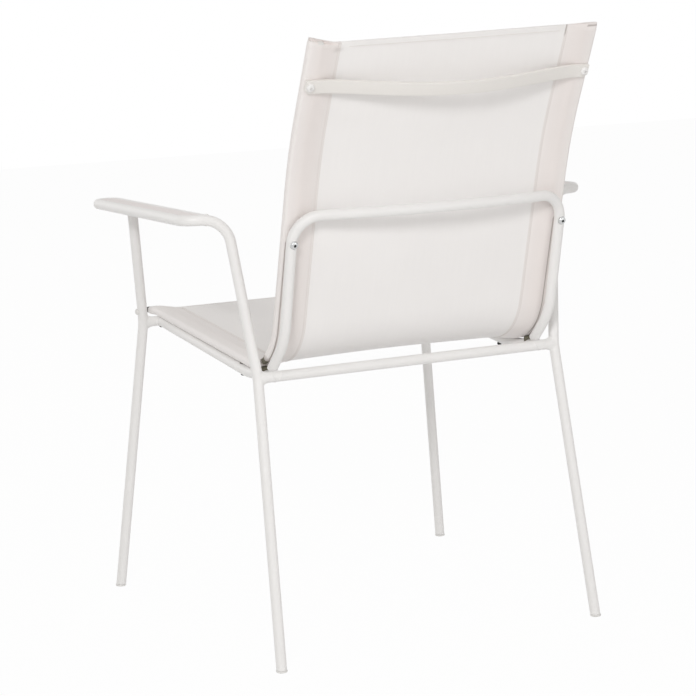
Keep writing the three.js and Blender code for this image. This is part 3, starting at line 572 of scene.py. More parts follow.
def arm_lines(side):
    foot = Vector((side * REAR_FOOT_HALF, FEET_HALF_DEPTH, 0))
    kink = rear_bar(side * REAR_BAR_HALF)
    top = Vector((side * LEG_TOP_HALF, LEG_TOP_SETBACK, arm_height(LEG_TOP_SETBACK)))
    corner = on_arm(side, ARM_CORNER_SETBACK, LOOP_HALF)
    tip = [on_arm(side, ARM_TIP_SETBACK, LOOP_HALF), on_arm(side, ARM_TIP_SETBACK, -LOOP_HALF)]
    radii = [LEG_TOP_RADIUS, ARM_CORNER_RADIUS]
    crossing = rounded_path([kink, top, corner, on_arm(side, 0, LOOP_HALF)], radii)
    past = [abs(p.x) - abs(on_arm(side, p.y, -LOOP_HALF).x) for p in crossing]
    end = next(i for i, v in enumerate(past) if v > 0)
    share = past[end - 1] / (past[end - 1] - past[end])
    meeting = on_arm(side, crossing[end - 1].lerp(crossing[end], share).y, -LOOP_HALF)
    tight = LOOP_HALF * 0.999
    path = rounded_path(
        [foot, kink, top, corner, *tip, meeting],
        [KINK_RADIUS, LEG_TOP_RADIUS, ARM_CORNER_RADIUS, tight, tight],
    )
    # The loop's centre line, for the inlay: out along the outer run, round the tip and back to the crossing.
    loop = rounded_path([corner, *tip, meeting], [tight, tight], 6.0)[1:]
    bend = rounded_path([top, corner, tip[0]], [ARM_CORNER_RADIUS])[1:-1]
    return {
        "foot": foot, "kink": kink, "path": path, "meeting": meeting,
        "loop": bend + loop, "run": (meeting - tip[1]).normalized(), "cross": (corner - top).normalized(),
    }


def front_leg_line(side):
    foot = Vector((side * FRONT_FOOT_HALF, -FEET_HALF_DEPTH, 0))
    kink = front_bar(side * FRONT_BAR_HALF)
    top = on_arm(side, FRONT_LEG_TOP_SETBACK, -LOOP_HALF)
    return {"foot": foot, "kink": kink, "top": top, "path": rounded_path([foot, kink, top], [KINK_RADIUS])}


def inlay_mesh(loop, side):
    """The slat between the two runs of an arm loop: levels of the loop's outline drawn in by the tube."""
    reach = TUBE_RADIUS + GAP
    top, bottom = TUBE_RADIUS - INLAY_RECESS, TUBE_RADIUS - INLAY_RECESS - INLAY_THICKNESS
    rows = [(top, 1.4), (top - 0.25, 0.7), (top - 0.9, 0.15), (top - 2.4, 0), (2.0, 0), (0.0, 0), (bottom, 0)]
    count = len(loop)
    verts, faces = [], []
    for level, inset in rows:
        draw = math.sqrt(reach**2 - level**2) + inset
        for i in range(count):
            p, before, after = loop[i], loop[i - 1], loop[(i + 1) % count]
            into = Vector((p.x - before.x, p.y - before.y)).normalized()
            onward = Vector((after.x - p.x, after.y - p.y)).normalized()
            # The loop runs forward on the outer side, so the slat lies towards the sitter.
            inward = Vector((into.y + onward.y, -into.x - onward.x)).normalized() * side
            half_turn = max(0.35, math.sqrt((1 + into.dot(onward)) / 2))
            q = Vector((p.x, p.y)) + inward * (draw / half_turn)
            verts.append(Vector((q.x, q.y, arm_height(q.y) + level)))
    for row in range(len(rows) - 1):
        for i in range(count):
            n = (i + 1) % count
            a, b = row * count, (row + 1) * count
            faces.append((a + i, b + i, b + n, a + n))
    faces.append(tuple(range(count)))
    faces.append(tuple((len(rows) - 1) * count + i for i in reversed(range(count))))
    if side < 0:
        faces = [tuple(reversed(f)) for f in faces]
    return verts, faces


def glide_mesh(foot):
    profile = [
        (0, 0), (GLIDE_RADIUS - 1.2, 0), (GLIDE_RADIUS - 0.3, 0.4), (GLIDE_RADIUS, 1.2),
        (GLIDE_RADIUS, GLIDE_HEIGHT - 0.7), (GLIDE_RADIUS - 0.5, GLIDE_HEIGHT), (0, GLIDE_HEIGHT + GAP),
    ]
    return lathe(foot, Vector((0, 0, 1)), profile)


X_AXIS = Vector((1, 0, 0))
arms = {name: arm_lines(side) for name, side in SIDES}
front_legs = {name: front_leg_line(side) for name, side in SIDES}
for name, side in SIDES:
    arm, leg = arms[name], front_legs[name]
    welds = bead(arm["meeting"], -arm["run"], arm["cross"], ARM_WELD)
    tube = tube_mesh(arm["path"], cuts=(GLIDE_HEIGHT + GAP, None))
    piece(f"{name}_arm_tube", *merged(tube, welds), WHITE, [f"{name}_rear_leg_and_arm"])
    top = leg["path"][:-1] + [leg["path"][-1] - Vector((0, 0, 1.5))]
    welds = bead(leg["top"], leg["kink"] - leg["top"], arm["run"], LEG_WELD)
    tube = tube_mesh(top, cuts=(GLIDE_HEIGHT + GAP, None))
    piece(f"{name}_front_leg_tube", *merged(tube, welds), WHITE, [f"{name}_front_leg"])
    piece(f"{name}_arm_slat", *inlay_mesh(arm["loop"], side), INLAY, [f"{name}_arm_inlay"])
    for place, line in (("rear", arm), ("front", leg)):
        node = f"{name}_{place}_foot_glide"
        piece(f"{node}_cap", *glide_mesh(line["foot"]), PALE, [node])

for place, at, half in (("rear", rear_bar, REAR_BAR_HALF), ("front", front_bar, FRONT_BAR_HALF)):
    line = arms if place == "rear" else front_legs
    welds = [
        fillet(at(side * half), -side * X_AXIS, line[name]["foot"] - at(side * half)) for name, side in SIDES
    ]
    tube = tube_mesh([at(-half), at(half)])
    piece(f"{place}_bar_tube", *merged(tube, *welds), WHITE, [f"{place}_crossbar"])


# Sling profile
def seat_height(setback):
    return SEAT_AT_BAR - (setback - FRONT_BAR_SETBACK) * math.tan(SEAT_FALL)


def across_to(p, x):
    return Vector((x, p.y, p.z))


def lean_point(start, lean, height):
    return Vector((0, start.y + (height - start.z) * math.tan(lean), height))


seat_turn = Vector((0, FRONT_DROOP_SETBACK, seat_height(FRONT_DROOP_SETBACK)))
droop = (FRONT_DROOP_SETBACK - SEAT_FRONT_SETBACK) * math.tan(FRONT_DROOP - SEAT_FALL)
seat_front = Vector((0, SEAT_FRONT_SETBACK, seat_turn.z - droop))
seat_corner = Vector((0, SEAT_CORNER_SETBACK, seat_height(SEAT_CORNER_SETBACK)))
break_height = seat_corner.z + (BACK_TOP - seat_corner.z) * BREAK_SHARE
back_break = lean_point(seat_corner, LOWER_LEAN, break_height)
back_top = lean_point(back_break, UPPER_LEAN, BACK_TOP)
turns = [FRONT_DROOP_RADIUS, SEAT_BEND_RADIUS, BREAK_RADIUS]
profile = rounded_path([seat_front, seat_turn, seat_corner, back_break, back_top], turns, 0.6)
runs = [0.0]
for a, b in zip(profile, profile[1:]):
    runs.append(runs[-1] + (b - a).length)
LENGTH = runs[-1]


def at_run(s):
    """Point, forward direction and face direction (to the sitter's side) of the profile at arc length s."""
    s = min(s, LENGTH)
    i = next(k for k in range(1, len(runs)) if runs[k] >= s - 1e-9)
    a, b = profile[i - 1], profile[i]
    share = (s - runs[i - 1]) / max(1e-9, runs[i] - runs[i - 1])
    along = (b - a).normalized()
    return a.lerp(b, share), along, Vector((0, -along.z, along.y))


lower_up = Vector((0, math.sin(LOWER_LEAN), math.cos(LOWER_LEAN)))
upper_up = Vector((0, math.sin(UPPER_LEAN), math.cos(UPPER_LEAN)))
seat_along = Vector((0, math.cos(SEAT_FALL), -math.sin(SEAT_FALL)))
under_seat = Vector((0, -math.sin(SEAT_FALL), -math.cos(SEAT_FALL)))


def behind(up):
    return Vector((0, up.z, -up.y))


bend_turn = math.pi / 2 + SEAT_FALL - LOWER_LEAN
bend_tangent = SEAT_BEND_RADIUS * math.tan(bend_turn / 2)
bend_centre = seat_corner - seat_along * bend_tangent - under_seat * SEAT_BEND_RADIUS
bend_start = bend_centre + under_seat * SEAT_BEND_RADIUS
BEND_START = min(((p - bend_start).length, s) for s, p in zip(runs, profile))[1]
BEND_END = BEND_START + SEAT_BEND_RADIUS * bend_turn
NOTCH_RUN = BEND_START + SEAT_BEND_RADIUS * bend_turn * 0.45


def crossing_of(a, da, b, db):
    span = b - a
    return a + da * ((span.y * db.z - span.z * db.y) / (da.y * db.z - da.z * db.y))


# Side tubes
side_front = front_bar(0)
side_under = rear_bar(0) - Vector((0, 0, SIDE_TUBE_DIP))
side_along = (side_under - side_front).normalized()
rise_setback = bend_centre.y - SEAT_BEND_RADIUS * SIDE_TUBE_RISE_SHARE
side_turn = side_front.lerp(side_under, (rise_setback - FRONT_BAR_SETBACK) / BAR_SPACING)
side_rise = (rear_bar(0) - side_turn).normalized()
for name, side in SIDES:
    line = [p + X_AXIS * side * SIDE_TUBE_X for p in (side_front, side_turn, rear_bar(0))]
    tube = tube_mesh(rounded_path(line, [SIDE_TUBE_BEND_RADIUS], 1.0))
    welds = [bead(line[0], side_along, X_AXIS), bead(line[2], -side_rise, X_AXIS, SIDE_WELD)]
    piece(f"{name}_side_tube_smooth", *merged(tube, *welds), WHITE, [f"{name}_side_tube"])

# Back hoop
hoop_down = Vector((0, -math.sin(HOOP_LEAN), -math.cos(HOOP_LEAN)))
hoop_top = seat_corner.z + (break_height - seat_corner.z) * HOOP_TOP_SHARE
hoop_corner = lean_point(seat_corner, LOWER_LEAN, hoop_top)
hoop_corner += behind(lower_up) * (SLEEVE_HALF + GAP + TUBE_RADIUS)
back_at_screw = lean_point(seat_corner, LOWER_LEAN, hoop_top - HOOP_SCREW_DROP)
hoop_at_screw = crossing_of(hoop_corner, hoop_down, back_at_screw, behind(lower_up))
foot_along = Vector((0, -math.sin(HOOP_FOOT), -math.cos(HOOP_FOOT)))
foot_normal = Vector((0, -foot_along.z, foot_along.y))
foot_point = bend_centre + foot_normal * (SEAT_BEND_RADIUS + SLEEVE_HALF + GAP + TUBE_RADIUS + 0.6)
foot_corner = crossing_of(hoop_at_screw, hoop_down, foot_point, foot_along)
foot_end = foot_point + foot_along * (rear_bar(0) - foot_point).dot(foot_along)
bow_radius = (HOOP_HALF**2 + HOOP_BOW**2) / (2 * HOOP_BOW)


def bow_at(x):
    setback = hoop_corner.y + HOOP_BOW - (bow_radius - math.sqrt(bow_radius**2 - x * x))
    return Vector((x, setback, hoop_corner.z))


def hoop_side(side):
    half_angle = math.asin(HOOP_HALF / bow_radius)
    bow = [bow_at(side * bow_radius * math.sin(half_angle * share / 100)) for share in range(72, 0, -4)]
    leg = [across_to(p, side * HOOP_HALF) for p in (foot_end, foot_corner, hoop_corner)]
    corner = rounded_path([*leg, bow[0]], [HOOP_BEND_RADIUS, HOOP_CORNER_RADIUS])
    return corner + bow[1:]


hoop_line = hoop_side(1) + [bow_at(0)] + hoop_side(-1)[::-1]
hoop_welds = [bead(rear_bar(side * HOOP_HALF), -foot_along, X_AXIS, HOOP_WELD) for _, side in SIDES]
piece("hoop_tube", *merged(tube_mesh(hoop_line), *hoop_welds), WHITE, ["back_hoop"])


# Spreader bar
spreader_at_rail = lean_point(back_break, UPPER_LEAN, BACK_TOP - SPREADER_DROP)
spreader_at_rail += behind(upper_up) * (SLEEVE_HALF + GAP + SPREADER_THICKNESS / 2)


def spreader_mesh():
    bow_half = SPREADER_HALF - SPREADER_FLAT
    depth, thick, radius = SPREADER_DEPTH / 2, SPREADER_THICKNESS / 2, SPREADER_EDGE
    outline = []
    for sx, sy, begin in ((1, -1, -90), (1, 1, 0), (-1, 1, 90), (-1, -1, 180)):
        for k in range(5):
            angle = math.radians(begin + 90 * k / 4)
            up, out = radius * math.cos(angle), radius * math.sin(angle)
            outline.append((sx * (depth - radius) + up, sy * (thick - radius) + out))
    flats = [SPREADER_HALF, SPREADER_HALF - 0.8, SPREADER_HALF - 2.5, SPREADER_HALF - 6.0, bow_half + 8.0]
    places = flats + [bow_half * (1 - k / 28) for k in range(29)]
    xs = places + [-x for x in reversed(places[:-1])]
    stations = []
    for x in xs:
        bow = SPREADER_BOW * (1 - min(1.0, abs(x) / bow_half) ** 2) ** 1.5
        stations.append(spreader_at_rail + behind(upper_up) * bow + X_AXIS * x)
    along = directions(stations)
    verts, faces = [], []
    for here, forward in zip(stations, along):
        across = upper_up.cross(forward).normalized()
        stretch = 1 / abs(across.dot(behind(upper_up)))
        near_end = SPREADER_HALF - abs(here.x)
        chamfer = 5.0 * max(0.0, 1 - near_end / 6.0)
        thin = 0.55 + 0.45 * min(1.0, near_end / 0.8)
        for up, out in outline:
            up = max(up, -depth + chamfer) if up < 0 else min(up, depth - 1.2 * max(0.0, 1 - near_end / 2.5))
            verts.append(here + upper_up * up + behind(upper_up) * (out * stretch * thin))
    count = len(outline)
    for i in range(len(stations) - 1):
        for k in range(count):
            n = (k + 1) % count
            a, b = i * count, (i + 1) * count
            faces.append((a + k, a + n, b + n, b + k))
    faces.append(tuple(reversed(range(count))))
    faces.append(tuple((len(stations) - 1) * count + k for k in range(count)))
    return verts, faces


piece("spreader_strap", *spreader_mesh(), SHADED_STRAP_WHITE, ["spreader_bar"])

# Fasteners
upper_face, lower_face = behind(upper_up), behind(lower_up)
rear_seat = Vector((0, SEAT_CORNER_SETBACK - REAR_SCREW_ADVANCE, 0))
rear_seat.z = seat_height(rear_seat.y)
front_seat = Vector((0, FRONT_BAR_SETBACK, SEAT_AT_BAR))
side_normal = Vector((0, -side_along.z, side_along.y))
rear_below = (rear_seat - side_front).dot(side_normal) / (-under_seat).dot(side_normal)
front_below = SEAT_AT_BAR - FRONT_BAR_HEIGHT
for name, side in SIDES:
    x = side * SCREW_X
    seat = across_to(hoop_at_screw, x) + lower_face * (TUBE_RADIUS - SCREW_SINK)
    *head, dark = domed_screw(seat, lower_face, DOME_RADIUS, DOME_HEIGHT, DOME_SOCKET)
    piece(f"{name}_hoop_screw_head", *head, STEEL, [f"{name}_hoop_screw"], marks=dark)
    seat = across_to(spreader_at_rail, x) + upper_face * (SPREADER_THICKNESS / 2)
    *head, _ = domed_screw(seat, upper_face, DOME_RADIUS, DOME_HEIGHT, DOME_SOCKET)
    piece(f"{name}_spreader_screw_head", *head, WHITE, [f"{name}_spreader_screw"])
    for place, point, below in (("rear", rear_seat, rear_below), ("front", front_seat, front_below)):
        seat = across_to(point, x) + under_seat * (below + TUBE_RADIUS - SCREW_SINK)
        node = f"{name}_{place}_seat_screw"
        *head, dark = domed_screw(seat, under_seat, SEAT_SCREW_RADIUS, SEAT_SCREW_HEIGHT, SEAT_SCREW_SOCKET)
        piece(f"{node}_head", *head, BLACK, [node], marks=dark)
    base = across_to(rear_seat, x) + under_seat * (rear_below - TUBE_RADIUS * 0.6)
    tall = rear_below - TUBE_RADIUS * 0.6 - SLEEVE_HALF
    wide = SPACER_RADIUS
    rings = [(0, 0), (wide, 0), (wide, tall - 1.2), (wide - 0.4, tall - 0.4), (wide - 1.0, tall), (0, tall)]
    piece(f"{name}_seat_spacer_ring", *lathe(base, -under_seat, rings), SPACER, [f"{name}_seat_spacer"])

    leg = front_legs[name]
    root = leg["kink"].lerp(leg["top"], BUMPER_RISE / (leg["top"].z - leg["kink"].z))
    out = X_AXIS * side
    wide, tall = BUMPER_RADIUS, BUMPER_REACH
    rings = [(0, 0), (wide, 0), (wide, tall - 2.4), (wide - 0.3, tall - 1.2), (wide - 1.1, tall - 0.4)]
    rings += [(wide - 2.5, tall - 0.05), (0, tall)]
    piece(f"{name}_stacking_nub", *lathe(root, out, rings), PALE, [f"{name}_stacking_bumper"])


# Rails and plugs
def rail_outline(grow=0.0, steps=5):
    half, thick, radius = RAIL_WIDTH / 2 + grow, RAIL_THICKNESS / 2 + grow, RAIL_CORNER + grow
    points = []
    for sx, sy, start in ((1, -1, -90), (1, 1, 0), (-1, 1, 90), (-1, -1, 180)):
        for k in range(steps + 1):
            angle = math.radians(start + 90 * k / steps)
            x, h = radius * math.cos(angle), radius * math.sin(angle)
            points.append((sx * (half - radius) + x, sy * (thick - radius) + h))
    return points


def bar_mesh(rows):
    """A bar through rows of (point, face direction, outline), closed at both ends."""
    verts, faces = [], []
    for here, face, outline in rows:
        verts.extend(here + X_AXIS * x + face * h for x, h in outline)
    count = len(rows[0][2])
    for i in range(len(rows) - 1):
        a, b = i * count, (i + 1) * count
        for k in range(count):
            n = (k + 1) % count
            faces.append((a + k, b + k, b + n, a + n))
    faces.append(tuple(range(count)))
    faces.append(tuple((len(rows) - 1) * count + k for k in reversed(range(count))))
    return verts, faces


RAIL_END = LENGTH - RAIL_TOP_INSET
FRONT_REACH = 8.0
RAIL_ROWS = 160
SLING_ROWS = 190
for name, side in SIDES:
    centre = X_AXIS * side * RAIL_X
    rows = []
    for k in range(RAIL_ROWS + 1):
        here, _, face = at_run((RAIL_END + FRONT_REACH) * k / RAIL_ROWS - FRONT_REACH)
        rows.append((here + centre, face, rail_outline()))
    piece(f"{name}_rail", *bar_mesh(rows), RAIL, [f"{name}_sling_rail"])
    here, along, face = at_run(-FRONT_REACH)
    steps = [(-GAP, 0.0), (-10.2, 0.0), (-11.3, -0.5), (-12.0, -1.8)]
    rows = [(here + centre + along * s, face, rail_outline(g)) for s, g in reversed(steps)]
    piece(f"{name}_front_plug", *bar_mesh(rows), PLASTIC, [f"{name}_front_rail_plug"])
    here, along, face = at_run(RAIL_END)
    steps = [(GAP, 0.0), (1.5, 0.0), (2.1, -0.4), (2.5, -1.4)]
    rows = [(here + centre + along * s, face, rail_outline(g)) for s, g in steps]
    piece(f"{name}_top_plug", *bar_mesh(rows), PALE, [f"{name}_top_rail_plug"])

# Rear buffers, whose upper parts fill the notches of the sleeves
NOTCH_HALF = 6.0
NOTCH_DEPTH = 7.0
NOTCH_FILL = 5.4
for name, side in SIDES:
    setback = bend_centre.y + SEAT_BEND_RADIUS * BUFFER_BEND_SHARE
    base = rear_bar(side * SIDE_TUBE_X) - side_rise * ((REAR_BAR_SETBACK - setback) / side_rise.y)
    outer = SEAT_BEND_RADIUS + SLEEVE_HALF
    top = bend_centre.z - math.sqrt(outer**2 - (setback - bend_centre.y) ** 2)
    tall = top - base.z
    wide = BUFFER_RADIUS
    rings = [(0, 0), (wide, 0), (wide, tall - 4.0), (wide - 0.4, tall - 2.0), (wide - 1.4, tall - 1.0)]
    rings += [(0, tall - 0.6)]
    outline = [(SLING_HALF - NOTCH_DEPTH - 3.0, -4.6), (SLING_HALF - 2.6, -4.6), (SLING_HALF - 1.0, -3.0)]
    outline += [(SLING_HALF - 1.0, 2.4), (SLING_HALF - 2.6, 4.0), (SLING_HALF - NOTCH_DEPTH - 3.0, 4.0)]
    if side < 0:
        outline = [(-x, h) for x, h in reversed(outline)]
    rows = []
    for k in range(9):
        here, _, face = at_run(NOTCH_RUN + NOTCH_FILL * (k / 4 - 1))
        rows.append((here, face, outline))
    block = merged(lathe(base, Vector((0, 0, 1)), rings), bar_mesh(rows))
    piece(f"{name}_rear_buffer_block", *block, RUBBER, [f"{name}_rear_buffer"])

# Sling
SEAM_X = SLING_HALF - SLEEVE_DEPTH
PANEL_HALF = 0.5
HEM = 11.0
FRONT_HEM = HEM - FRONT_REACH
HEM_PLY = 0.9
SLEEVE_STEPS = {1: 4.5, -1: 0.4}
CREASE_REACH = 4.4
CREASE_START = BEND_START + (BEND_END - BEND_START) * 0.45
CREASE_END = BEND_END + 128.0
TOP_EASE = 70.0
SLIT_DEPTH = 16.0
LIP_DEPTH = 3.0
TOP_DROPS = [
    (-SLING_HALF, 1.2), (-SEAM_X, 2.2), (20 - SEAM_X, 2.4), (5, 6.8),
    (SEAM_X, 10.2), (SEAM_X + 13, 10.2), (SEAM_X + 33, 6.2), (SLING_HALF, 1.7),
]
outer_radius = RAIL_CORNER + GAP + SLEEVE_WALL
outer_centre = SLING_HALF - outer_radius
sleeve_points = [(SEAM_X, PANEL_HALF), (SEAM_X + 1.5, 0.75), (SEAM_X + 3.2, 0.6), (SEAM_X + 5.0, 0.8)]
sleeve_points += [(SEAM_X + 6.5, 1.2)]
inner_x = RAIL_X - RAIL_WIDTH / 2
for k in range(1, 7):
    share = k / 7
    sleeve_points.append((SEAM_X + 6.5 + (inner_x - SEAM_X - 5.0) * share, 1.2 + (SLEEVE_HALF - 1.5) * share))
sleeve_points += [(inner_x + 2.6, SLEEVE_HALF - 0.06), (inner_x + 5.0, SLEEVE_HALF)]
sleeve_points += [(HOOP_HALF - CREASE_REACH + step, SLEEVE_HALF) for step in (-1.5, 0.0, 1.5)]
sleeve_points += [(outer_centre - 2.0, SLEEVE_HALF)]
for k in range(7):
    angle = math.radians(90 - 90 * k / 6)
    lift = outer_radius * (math.sin(angle) - 1)
    sleeve_points.append((outer_centre + outer_radius * math.cos(angle), SLEEVE_HALF + lift))
panel_x = [SEAM_X * k / 32 for k in range(-31, 32)]


def sag(x, s):
    """How far the panel stands off its own plane, towards the sitter's side."""
    if abs(x) >= SEAM_X:
        return 0.0
    span = 1 - (x / SEAM_X) ** 2
    seat = max(0.0, min(1.0, s / 60)) * max(0.0, min(1.0, (BEND_START + 20 - s) / 120))
    middle = (BEND_START + BEND_END) / 2
    bend = math.exp(-(((s - middle) / 75) ** 2))
    back = max(0.0, min(1.0, (s - BEND_END) / 120)) * max(0.0, min(1.0, (LENGTH - s) / 80))
    rise = span * (-2.6 * seat + 3.2 * bend - 1.4 * back)
    edge = math.exp(-(SEAM_X - abs(x)) / 22) * (1 - math.exp(-(SEAM_X - abs(x)) / 4))
    pucker = 0.45 * edge * noise.noise(Vector((x * 0.01, s * 0.055, 3.1)))
    drift = 0.7 * span * noise.noise(Vector((x * 0.006, s * 0.009, 7.7)))
    return rise + pucker + drift


def painted_shade(x, h, s):
    """How much painted shade darkens the cloth: painted shadow at the sleeves' open ends and top rim, in
    their notches, at the creases beside the hoop, the slit and lip at the top and a dimple, and darker seam
    lines.
    """
    if s > LENGTH - 0.01 and abs(x) > inner_x:
        return RIM_SHADE
    if abs(x) > SLING_HALF - NOTCH_DEPTH - 1 and h < 4 and abs(s - NOTCH_RUN) < 2.4 * NOTCH_HALF:
        return NOTCH_SHADE if abs(s - NOTCH_RUN) < 1.3 * NOTCH_HALF else NOTCH_EDGE_SHADE
    if h < 0 and s > LENGTH - SLIT_DEPTH and abs(x + SEAM_X + 1.5) < 0.1:
        return SLIT_SHADE
    if h < 0 and x < 15 - SLING_HALF and abs(LENGTH - LIP_DEPTH - s) < 0.1:
        return LIP_SHADE
    beside = min(abs(x - HOOP_HALF - CREASE_REACH), abs(x + HOOP_HALF - CREASE_REACH))
    if h < 0 and beside < 0.5 and CREASE_START < s < CREASE_END:
        return CREASE_SHADE
    # A painted shadow of a small dimple beside the left seam near the top.
    pucker = math.exp(-(((x - SEAM_X - 4) / 6) ** 2) - ((LENGTH - 13 - s) / 3.5) ** 2)
    seam = SEAM_SHADE if abs(abs(x) - SEAM_X - 3.2) < 0.1 else 0.0
    return max(seam, PUCKER_SHADE * pucker)


def sleeve_tint(x, s):
    """How far the double cloth takes on its warmer colour: less near the seam, the edge and on the seat."""
    if abs(x) < SEAM_X + 1:
        return 0.0
    up = max(0.0, min(1.0, (s - BEND_START) / (BEND_END - BEND_START)))
    edge = max(0.0, min(1.0, (abs(x) - SLING_HALF) / 20 + 1))
    tint = SEAT_TINT + (1 - SEAT_TINT) * up
    return tint * (1 - 0.55 * math.exp((SEAM_X - abs(x)) / 9)) * (1 - 0.5 * edge)


def closing(s):
    """How thick the sleeve still is near its top edge, where no rail holds it open."""
    return 1 - 0.7 * max(0.0, 1 - (LENGTH - s) / (RAIL_TOP_INSET - 3)) ** 1.3


def cut_run(x, s):
    """Where the cloth that would reach run s really reaches: the top edge was cut a little uneven."""
    ease = max(0.0, 1 - (LENGTH - s) / TOP_EASE)
    for (x0, d0), (x1, d1) in zip(TOP_DROPS, TOP_DROPS[1:]):
        if x0 <= x <= x1:
            return s - ease * (d0 + (d1 - d0) * (x - x0) / (x1 - x0))
    return s


def sling_mesh_data():
    special = [NOTCH_RUN - NOTCH_HALF, NOTCH_RUN + NOTCH_HALF, LENGTH - HEM, FRONT_HEM, LENGTH - LIP_DEPTH]
    special += [LENGTH - step for step in SLEEVE_STEPS.values()]
    runs_at = [(LENGTH + FRONT_REACH) * k / SLING_ROWS - FRONT_REACH for k in range(SLING_ROWS + 1)]
    for s in special:
        runs_at = [r for r in runs_at if abs(r - s) > 1.2] + [s - 0.02, s + 0.02]
    runs_at = sorted({-FRONT_REACH, LENGTH, *runs_at})
    verts, faces, uv = [], [], []
    marks = {"sleeve": [], "painted_shade": []}
    for s in runs_at:
        notched = abs(s - NOTCH_RUN) < NOTCH_HALF
        hem = s > LENGTH - HEM or s < FRONT_HEM
        right = []
        for x, h in sleeve_points:
            x = min(x, SLING_HALF - NOTCH_DEPTH) if notched else x
            right.append((x, max(PANEL_HALF, h * closing(s))))
        front = [(-x, h) for x, h in reversed(right)] + [(x, PANEL_HALF) for x in panel_x] + right
        back_right, back_left = (
            [(x, h - 2 * PANEL_HALF if s > LENGTH - SLEEVE_STEPS[side] else -h) for x, h in right]
            for side in (1, -1)
        )
        ply = HEM_PLY if hem else 0.0
        inner = [(x, -PANEL_HALF - (ply if abs(x) < SEAM_X - 6 else 0.0)) for x in reversed(panel_x)]
        rear = list(reversed(back_right)) + inner + [(-x, h) for x, h in back_left]
        loop = front + rear
        travelled = 0.0
        previous = None
        for x, h in loop:
            if previous is not None:
                travelled += math.hypot(x - previous[0], h - previous[1])
            previous = (x, h)
            here, _, face = at_run(cut_run(x, s))
            verts.append(here + X_AXIS * x + face * (h + sag(x, s)))
            uv.append((travelled, s))
            marks["sleeve"].append(sleeve_tint(x, s))
            marks["painted_shade"].append(painted_shade(x, h, s))
    count = len(loop)
    for i in range(len(runs_at) - 1):
        a, b = i * count, (i + 1) * count
        for k in range(count):
            n = (k + 1) % count
            faces.append((a + k, a + n, b + n, b + k))
    half = count // 2
    for base, flip in ((0, False), ((len(runs_at) - 1) * count, True)):
        for k in range(half - 1):
            quad = (base + k, base + count - 1 - k, base + count - 2 - k, base + k + 1)
            faces.append(tuple(reversed(quad)) if flip else quad)
    return verts, faces, uv, marks


verts, faces, uv, marks = sling_mesh_data()
sling = piece("sling", verts, faces, MESH, ["sling_fabric"], sharp=50, uv=uv, marks=marks)


# Stitching
def stitch(here, along, face):
    """One stitch: a short six-sided thread whose ends dive into the cloth."""
    across = along.cross(face)
    verts, faces = [], []
    rows = ((-0.5, 0.25, -0.5), (-0.3, 1.0, 0.15), (0.0, 1.1, 0.45), (0.3, 1.0, 0.15), (0.5, 0.25, -0.5))
    for run, share, lift in rows:
        for k in range(6):
            angle = math.pi * k / 3
            offset = across * math.cos(angle) + face * math.sin(angle)
            beside = face * lift + offset * share
            verts.append(here + along * (run * STITCH_LENGTH) + beside * THREAD_RADIUS)
    for i in range(4):
        for k in range(6):
            n = (k + 1) % 6
            faces.append((i * 6 + k, i * 6 + n, (i + 1) * 6 + n, (i + 1) * 6 + k))
    return verts, faces


threads = []
for side in (1, -1):
    for x, h in ((SEAM_X + 1.2, 0.72), (SEAM_X + 4.6, 0.74)):
        count = int(LENGTH / STITCH_PITCH)
        for k in range(3, count - 3):
            s = LENGTH * k / count
            here, along, face = at_run(s)
            for layer in (1, -1):
                if layer < 0 and s > LENGTH - SLEEVE_STEPS[side] - 2:
                    continue
                threads.append(stitch(here + X_AXIS * side * x + face * (layer * h), along, face * layer))
for s in (LENGTH - HEM + 2.2, FRONT_HEM - 2.2):
    count = int(2 * SEAM_X / STITCH_PITCH)
    for k in range(3, count - 3):
        x = -SEAM_X + 2 * SEAM_X * k / count
        here, along, face = at_run(cut_run(x, s))
        lift = sag(x, s)
        threads.append(stitch(here + X_AXIS * x + face * (lift + PANEL_HALF), X_AXIS, face))
        threads.append(stitch(here + X_AXIS * x + face * (lift - PANEL_HALF - HEM_PLY), X_AXIS, -face))
stitching = piece("sling_stitching", *merged(*threads), THREAD, slot="sling_mesh", sharp=80)

# Camera, solved from the photograph
IMAGE = 696
FOCAL = 2460.5
DISTANCE = 3607.5
AIM = Vector((37.449, 50.878, 400.0))
SENSOR = 36.0
azimuth, elevation, roll = math.radians(152.922), math.radians(10.647), math.radians(-1.2005)
back = Vector((
    math.sin(azimuth) * math.cos(elevation), -math.cos(azimuth) * math.cos(elevation), math.sin(elevation)
))
level = (-back).cross(Vector((0, 0, 1))).normalized()
upward = level.cross(-back)
right = level * math.cos(roll) + upward * math.sin(roll)
up = -level * math.sin(roll) + upward * math.cos(roll)
camera_data = bpy.data.cameras.new("camera")
camera_data.sensor_width = SENSOR
camera_data.lens = SENSOR * FOCAL / IMAGE
camera_data.clip_end = 100.0
camera = bpy.data.objects.new("camera", camera_data)
place = to_row(AIM + back * DISTANCE)
camera.matrix_world = Matrix.Translation(place) @ Matrix((right, up, back)).transposed().to_4x4()
bpy.context.scene.collection.objects.link(camera)
bpy.context.scene.camera = camera


# Floor, world and lamps
FLOOR = 6.0
FLOOR_GLOW = 0.965
AMBIENT = 0.465
AMBIENT_COLOR = (1.0, 0.972, 0.94, 1.0)
LAMP_AIM = Vector((0, 0, 0.5))
LAMPS = [
    ("key", (2.25, 2.95, 2.2), 0.7, 50),
    ("fill", (-1.2, 3.2, 1.0), 2.0, 13),
    ("front", (1.6, -2.6, 1.6), 2.2, 14),
    ("top", (0.2, 0.4, 3.4), 1.6, 7),
]


